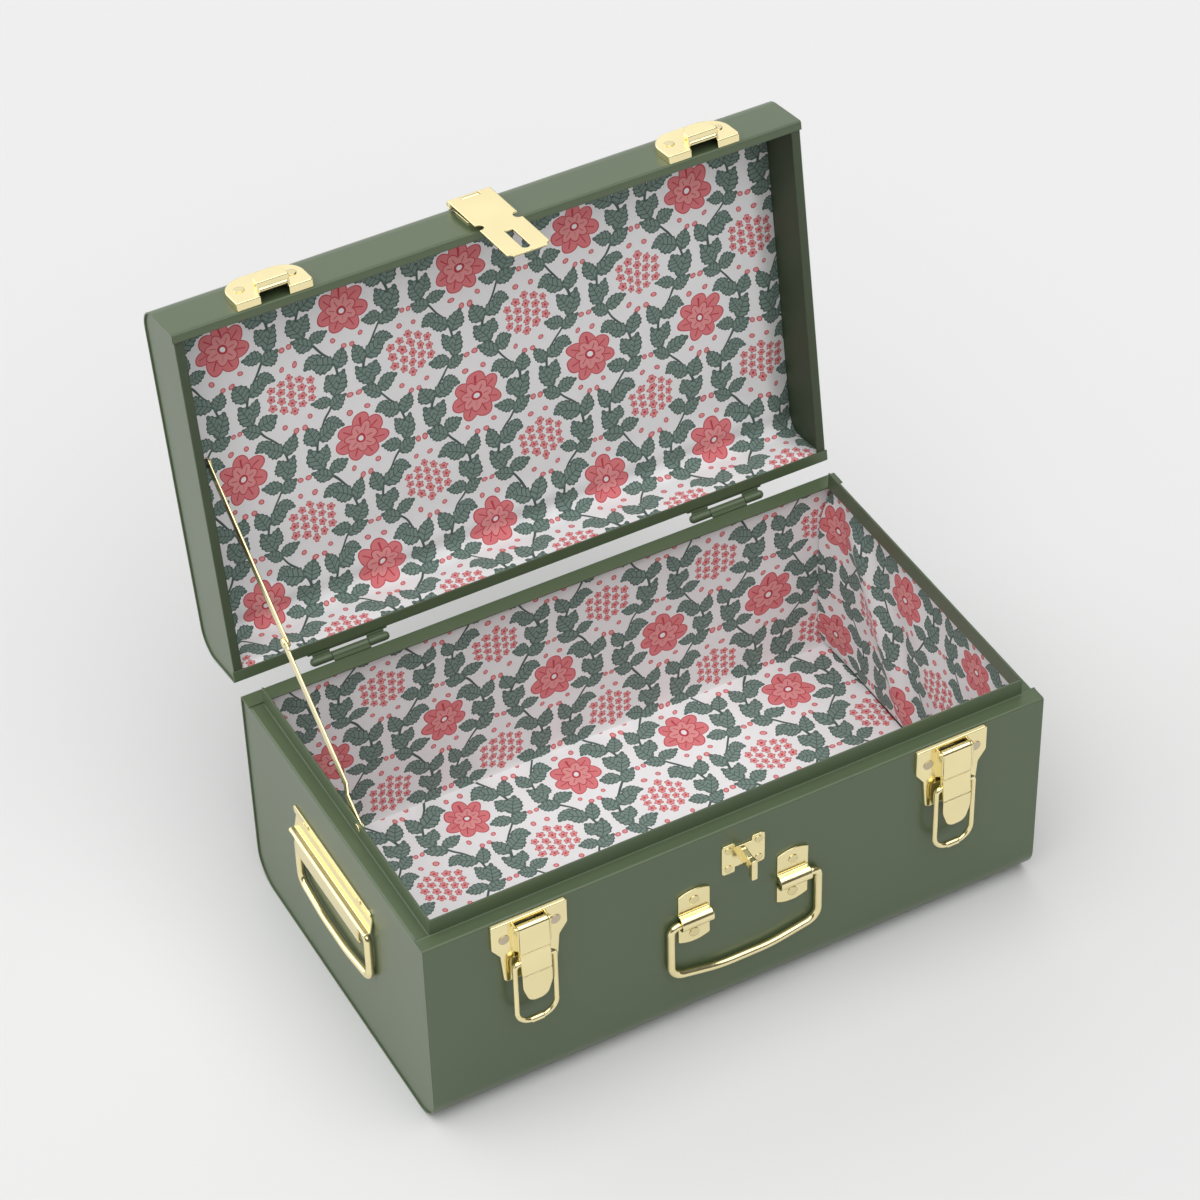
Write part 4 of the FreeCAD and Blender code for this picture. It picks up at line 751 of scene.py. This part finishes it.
class TRUNK_OT_line_body(bpy.types.Operator):
    """Line the body's floor and walls with padded cloth"""

    bl_idname = "trunk.line_body"
    bl_label = "Line Body"

    def execute(self, context):
        lining = context.scene.trunk_lining
        cotton = printed_cotton(lining)
        context.scene.trunk_cotton = cotton.name
        self.floor(lining, cotton)
        for node in ("back_lining", "front_lining", "left_lining", "right_lining"):
            self.wall(node, lining, cotton)
        return {"FINISHED"}

    def floor(self, lining, cotton):
        """Pad the floor, with its crease at the back rounded off."""
        low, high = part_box("floor_lining")
        wide, tall = high.x - low.x - 2 * lining.seam, high.y - low.y
        middle = (low + high) / 2

        def shape(across, along):
            full = swell(min(wide / 2 - abs(across), tall / 2 + along), lining.roll)
            wave = ripple((across, along, 0), FLOOR_WAVE) * lining.wave
            cove = lining.cove * exp(-(tall / 2 - along) / lining.cove_run)
            height = high.z - lining.wave + wave * full - (1 - full) * lining.puff + cove
            return Vector((middle.x + across, middle.y + along, height))

        panel = cloth_panel("floor_pad", wide, tall, lining.step, shape, (0, tall / 2))
        thickness = high.z - low.z - FLOOR_BOARD_LESS
        finish_panel(panel, thickness, "trunk", "floor_lining", cotton)

    def wall(self, node, lining, cotton):
        """Pad one wall."""
        low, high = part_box(node)
        low.z -= lining.wave
        middle = (low + high) / 2
        tall = high.z - low.z
        inward = {
            "back_lining": Vector((0, -1, 0)),
            "front_lining": Vector((0, 1, 0)),
            "left_lining": Vector((1, 0, 0)),
            "right_lining": Vector((-1, 0, 0)),
        }[node]
        sideways = Vector((0, 0, 1)).cross(inward)
        wide = abs((high - low).dot(sideways))
        depth = abs((high - low).dot(inward))
        floor_low, floor_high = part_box("floor_lining")
        floor_tall = floor_high.y - floor_low.y
        is_end = node in ("left_lining", "right_lining")
        back_end = sideways.y * wide / 2

        def shape(across, along):
            from_top = tall / 2 - along
            from_floor = tall / 2 + along
            full = swell(min(wide / 2 - abs(across), from_top), lining.roll)
            place = middle + sideways * across + Vector((0, 0, along))
            wave = ripple(place, WALL_WAVE) * lining.wave
            out = depth / 2 - (1 - full) * lining.puff - lining.wave + wave * full
            if node == "back_lining":
                out += lining.cove * exp(-from_floor / lining.cove_run)
            if is_end:
                out -= (1 - swell(from_floor, lining.roll)) * lining.puff
                out += self.billow(abs(across - back_end), from_top, from_floor, lining)
            return place + inward * out

        origin = (WALL_PRINT, tall / 2)
        if node == "back_lining":
            origin = (0, floor_tall + tall / 2)
        panel = cloth_panel(node.replace("lining", "pad"), wide, tall, lining.step, shape, origin)
        finish_panel(panel, WALL_BACKING, "trunk", node, cotton)

    def billow(self, from_corner, from_top, from_floor, lining):
        """Loose cloth of an end wall: it cuts the back corner and hangs in slanting folds."""
        hung = 1 - bell(from_top, HUNG_RUN)
        lifted = CORNER_FOOT + (1 - CORNER_FOOT) * swell(from_floor, CORNER_LIFT)
        loose = exp(-from_corner / CORNER_RUN) * lifted
        crest = CREST_START + CREST_SLANT * from_top
        for beyond, width, lift, share in END_FOLDS:
            loose += share * bell(from_corner - crest - beyond, width) * swell(from_floor, lift)
        return lining.slack * hung * loose


# Places across the lid of the creases left where the cloth lay folded
PRESSED_LINES = (-61 * MM, 50 * MM)
PRESSED_HALF = 8 * MM
PRESSED_RISE = 1.6
# Section of the shut lid's cloth: half its depth, its top, its rims and the radius of its bends
LID_HALF = 100.4 * MM
LID_TOP = 166.0 * MM
LID_FOOT = 133.0 * MM
LID_BEND = 9.4 * MM
# How much shorter the cloth is than the lid
LID_LESS = 3.8 * MM
# Gathers along the lower bend: how far they reach, their length, and how they are drawn out
GATHER_REACH = 14 * MM
GATHER_WAVE = 16 * MM
GATHER_ACROSS = 2.2
GATHER_ALONG = 0.6
GATHER_LAYER = 7 * MM
# Swelling over the lower crease: how far above the bend, its width, its waves and its least and added share
LAP_ABOVE = 13 * MM
LAP_WIDTH = 7 * MM
LAP_WAVE = 40 * MM
LAP_SHARE = (0.75, 0.5)
LAP_LAYER = 3 * MM
# Fold along each end: how far in, its width, its waves and its least and added share
FOLD_IN = 12 * MM
FOLD_WIDTH = 6 * MM
FOLD_WAVE = 45 * MM
FOLD_SHARE = (0.8, 0.6)
FOLD_LAYER = 5 * MM


class TRUNK_OT_line_lid(bpy.types.Operator):
    """Line the lid with one sheet of padded cloth that follows its curve"""

    bl_idname = "trunk.line_lid"
    bl_label = "Line Lid"

    def execute(self, context):
        scene = context.scene
        lining = scene.trunk_lining
        cotton = bpy.data.materials[scene.trunk_cotton]
        hinge = Vector(LID_JOINT["pos_m"])
        shut = radians(LID_JOINT["range_deg"][1])
        open_lid = (
            Matrix.Translation(hinge) @ Matrix.Rotation(-shut, 4, "X") @ Matrix.Translation(-hinge)
        )
        low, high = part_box("lid_wrap")
        wide = high.x - low.x - LID_LESS
        half, top, foot, bend = LID_HALF, LID_TOP, LID_FOOT, LID_BEND
        front_run = top - foot - bend
        top_run = 2 * (half - bend)
        arc = bend * pi / 2
        tall = 2 * front_run + top_run + 2 * arc

        def profile(run):
            """Place in the lid's section and the way that the cloth faces, from the front rim on."""
            if run < front_run:
                return Vector((-half, foot + run)), Vector((1, 0))
            run -= front_run
            if run < arc:
                turn = run / bend
                way = Vector((cos(turn), -sin(turn)))
                return Vector((-half + bend, top - bend)) - way * bend, way
            run -= arc
            if run < top_run:
                return Vector((-half + bend + run, top)), Vector((0, -1))
            run -= top_run
            if run < arc:
                turn = run / bend
                way = Vector((-sin(turn), -cos(turn)))
                return Vector((half - bend, top - bend)) - way * bend, way
            run -= arc
            return Vector((half, top - bend - run)), Vector((-1, 0))

        bend_run = front_run + arc + top_run + arc / 2

        def shape(across, along):
            run = tall / 2 - along
            place, way = profile(run)
            from_end = wide / 2 - abs(across)
            full = swell(min(from_end, tall / 2 - abs(along)), lining.roll)
            wave = ripple((across, along, 0), LID_WAVE) * lining.wave
            gather = ripple((across * GATHER_ACROSS, along * GATHER_ALONG, GATHER_LAYER), GATHER_WAVE)
            gather *= lining.pucker * bell(run - bend_run, GATHER_REACH)
            lap = bell(run - bend_run + LAP_ABOVE, LAP_WIDTH) * lining.lap
            lap *= LAP_SHARE[0] + LAP_SHARE[1] * ripple((across, 0, LAP_LAYER), LAP_WAVE)
            fold = bell(from_end - FOLD_IN, FOLD_WIDTH) * lining.fold
            fold *= FOLD_SHARE[0] + FOLD_SHARE[1] * ripple((along, across, FOLD_LAYER), FOLD_WAVE)
            pressed = sum(max(0.0, 1 - abs(across - line) / PRESSED_HALF) for line in PRESSED_LINES)
            pressed *= PRESSED_RISE * lining.wave
            out = (wave + gather + lap + fold + pressed) * full - (1 - full) * lining.puff
            place = place + way * out
            return open_lid @ Vector((across, place.x, place.y))

        panel = cloth_panel("lid_pad", wide, tall, lining.step, shape, LID_PRINT)
        finish_panel(panel, LID_BACKING, "lid", "lid_lining", cotton)
        return {"FINISHED"}


# Share of the soft panels that lights matt surfaces: shiny ones show them in full
PANEL_SHARE = 0.7
# Way to the middle of each soft panel, and the cosines at which it starts and is at its full strength
BACK_PANEL = ((0.28, 0.8, 0.4), 0.77)
LEFT_PANEL = ((-0.8, 0.6, 0.1), 0.5)
PANEL_FULL = 0.97
# Place, turn and breadth of the key light
KEY_PLACE = (0, 0, 2)
KEY_TURN = (radians(18), radians(-8), 0)
KEY_BREADTH = radians(84)
FAR_CLIP = 100


class TRUNK_OT_set_stage(bpy.types.Operator):
    """Lay the floor and set the light and the camera"""

    bl_idname = "trunk.set_stage"
    bl_label = "Set Stage"

    def execute(self, context):
        stage = context.scene.trunk_stage
        context.scene.view_settings.view_transform = "Standard"
        self.floor(stage)
        self.sky(context.scene, stage)
        self.key_light(stage)
        self.camera(context.scene, stage)
        return {"FINISHED"}

    def floor(self, stage):
        """Lay a plain pale floor."""
        bpy.ops.object.select_all(action="DESELECT")
        bpy.ops.mesh.primitive_plane_add(size=stage.floor_size)
        floor = bpy.context.active_object
        floor.name = "floor"
        graph = new_material("pale_floor")
        floor.data.materials.append(
            graph.surface(Base_Color=colour(stage.floor), Roughness=0.9, Specular_IOR_Level=0.0)
        )

    def sky(self, scene, stage):
        """Light from all round, with two soft panels."""
        world = bpy.data.worlds.new("soft_studio")
        scene.world = world
        graph = Graph(world)
        way = graph.add("ShaderNodeTexCoord", out="Generated")

        def panel(direction, start):
            """A soft panel of light in one direction."""
            sockets = {0: way, 1: Vector(direction).normalized()}
            facing = graph.add("ShaderNodeVectorMath", {"operation": "DOT_PRODUCT"}, sockets, "Value")
            sockets = {"Value": facing, "From Min": start, "From Max": PANEL_FULL}
            return graph.add("ShaderNodeMapRange", {"interpolation_type": "SMOOTHSTEP"}, sockets)

        glow = panel(*BACK_PANEL) * stage.back_glow + panel(*LEFT_PANEL) * stage.left_glow
        mirrored = graph.add("ShaderNodeLightPath", out="Is Glossy Ray")
        share = mirrored * (1 - PANEL_SHARE) + PANEL_SHARE
        light = graph.add("ShaderNodeBackground", None, {"Color": glow * share + stage.sky})
        graph.add("ShaderNodeOutputWorld", None, {"Surface": light})

    def key_light(self, stage):
        """One broad light from overhead."""
        bpy.ops.object.select_all(action="DESELECT")
        bpy.ops.object.light_add(type="SUN", location=KEY_PLACE, rotation=KEY_TURN)
        lamp = bpy.context.active_object
        lamp.name = "key_light"
        lamp.data.energy = stage.key
        lamp.data.angle = KEY_BREADTH

    def camera(self, scene, stage):
        """Look from where the photograph was taken."""
        bpy.ops.object.select_all(action="DESELECT")
        bpy.ops.object.camera_add(location=stage.camera_place, rotation=stage.camera_turn)
        camera = bpy.context.active_object
        camera.name = "camera"
        camera.data.sensor_fit = "HORIZONTAL"
        camera.data.angle = stage.camera_angle
        camera.data.clip_end = FAR_CLIP
        scene.camera = camera


class TRUNK_PT_looks(bpy.types.Panel):
    """Lists the steps that dress the trunk"""

    bl_idname = "TRUNK_PT_looks"
    bl_label = "Trunk"
    bl_space_type = "VIEW_3D"
    bl_region_type = "UI"
    bl_category = "Trunk"

    def draw(self, context):
        for step in STEPS:
            self.layout.operator(step.bl_idname)


GROUPS = {"trunk_finish": TrunkFinish, "trunk_lining": TrunkLining, "trunk_stage": TrunkStage}
STEPS = (
    TRUNK_OT_set_stage,
    TRUNK_OT_paint_shells,
    TRUNK_OT_plate_hardware,
    TRUNK_OT_line_body,
    TRUNK_OT_line_lid,
)


def register():
    for group in GROUPS.values():
        bpy.utils.register_class(group)
    for name, group in GROUPS.items():
        setattr(bpy.types.Scene, name, bpy.props.PointerProperty(type=group))
    bpy.types.Scene.trunk_cotton = bpy.props.StringProperty(
        name="Cotton", description="Material of the lining once it is made"
    )
    for step in STEPS:
        bpy.utils.register_class(step)
    bpy.utils.register_class(TRUNK_PT_looks)


def unregister():
    bpy.utils.unregister_class(TRUNK_PT_looks)
    for step in reversed(STEPS):
        bpy.utils.unregister_class(step)
    del bpy.types.Scene.trunk_cotton
    for name in GROUPS:
        delattr(bpy.types.Scene, name)
    for group in reversed(GROUPS.values()):
        bpy.utils.unregister_class(group)


def main():
    register()
    for step in STEPS:
        family, action = step.bl_idname.split(".")
        getattr(getattr(bpy.ops, family), action)()


if __name__ == "__main__":
    main()
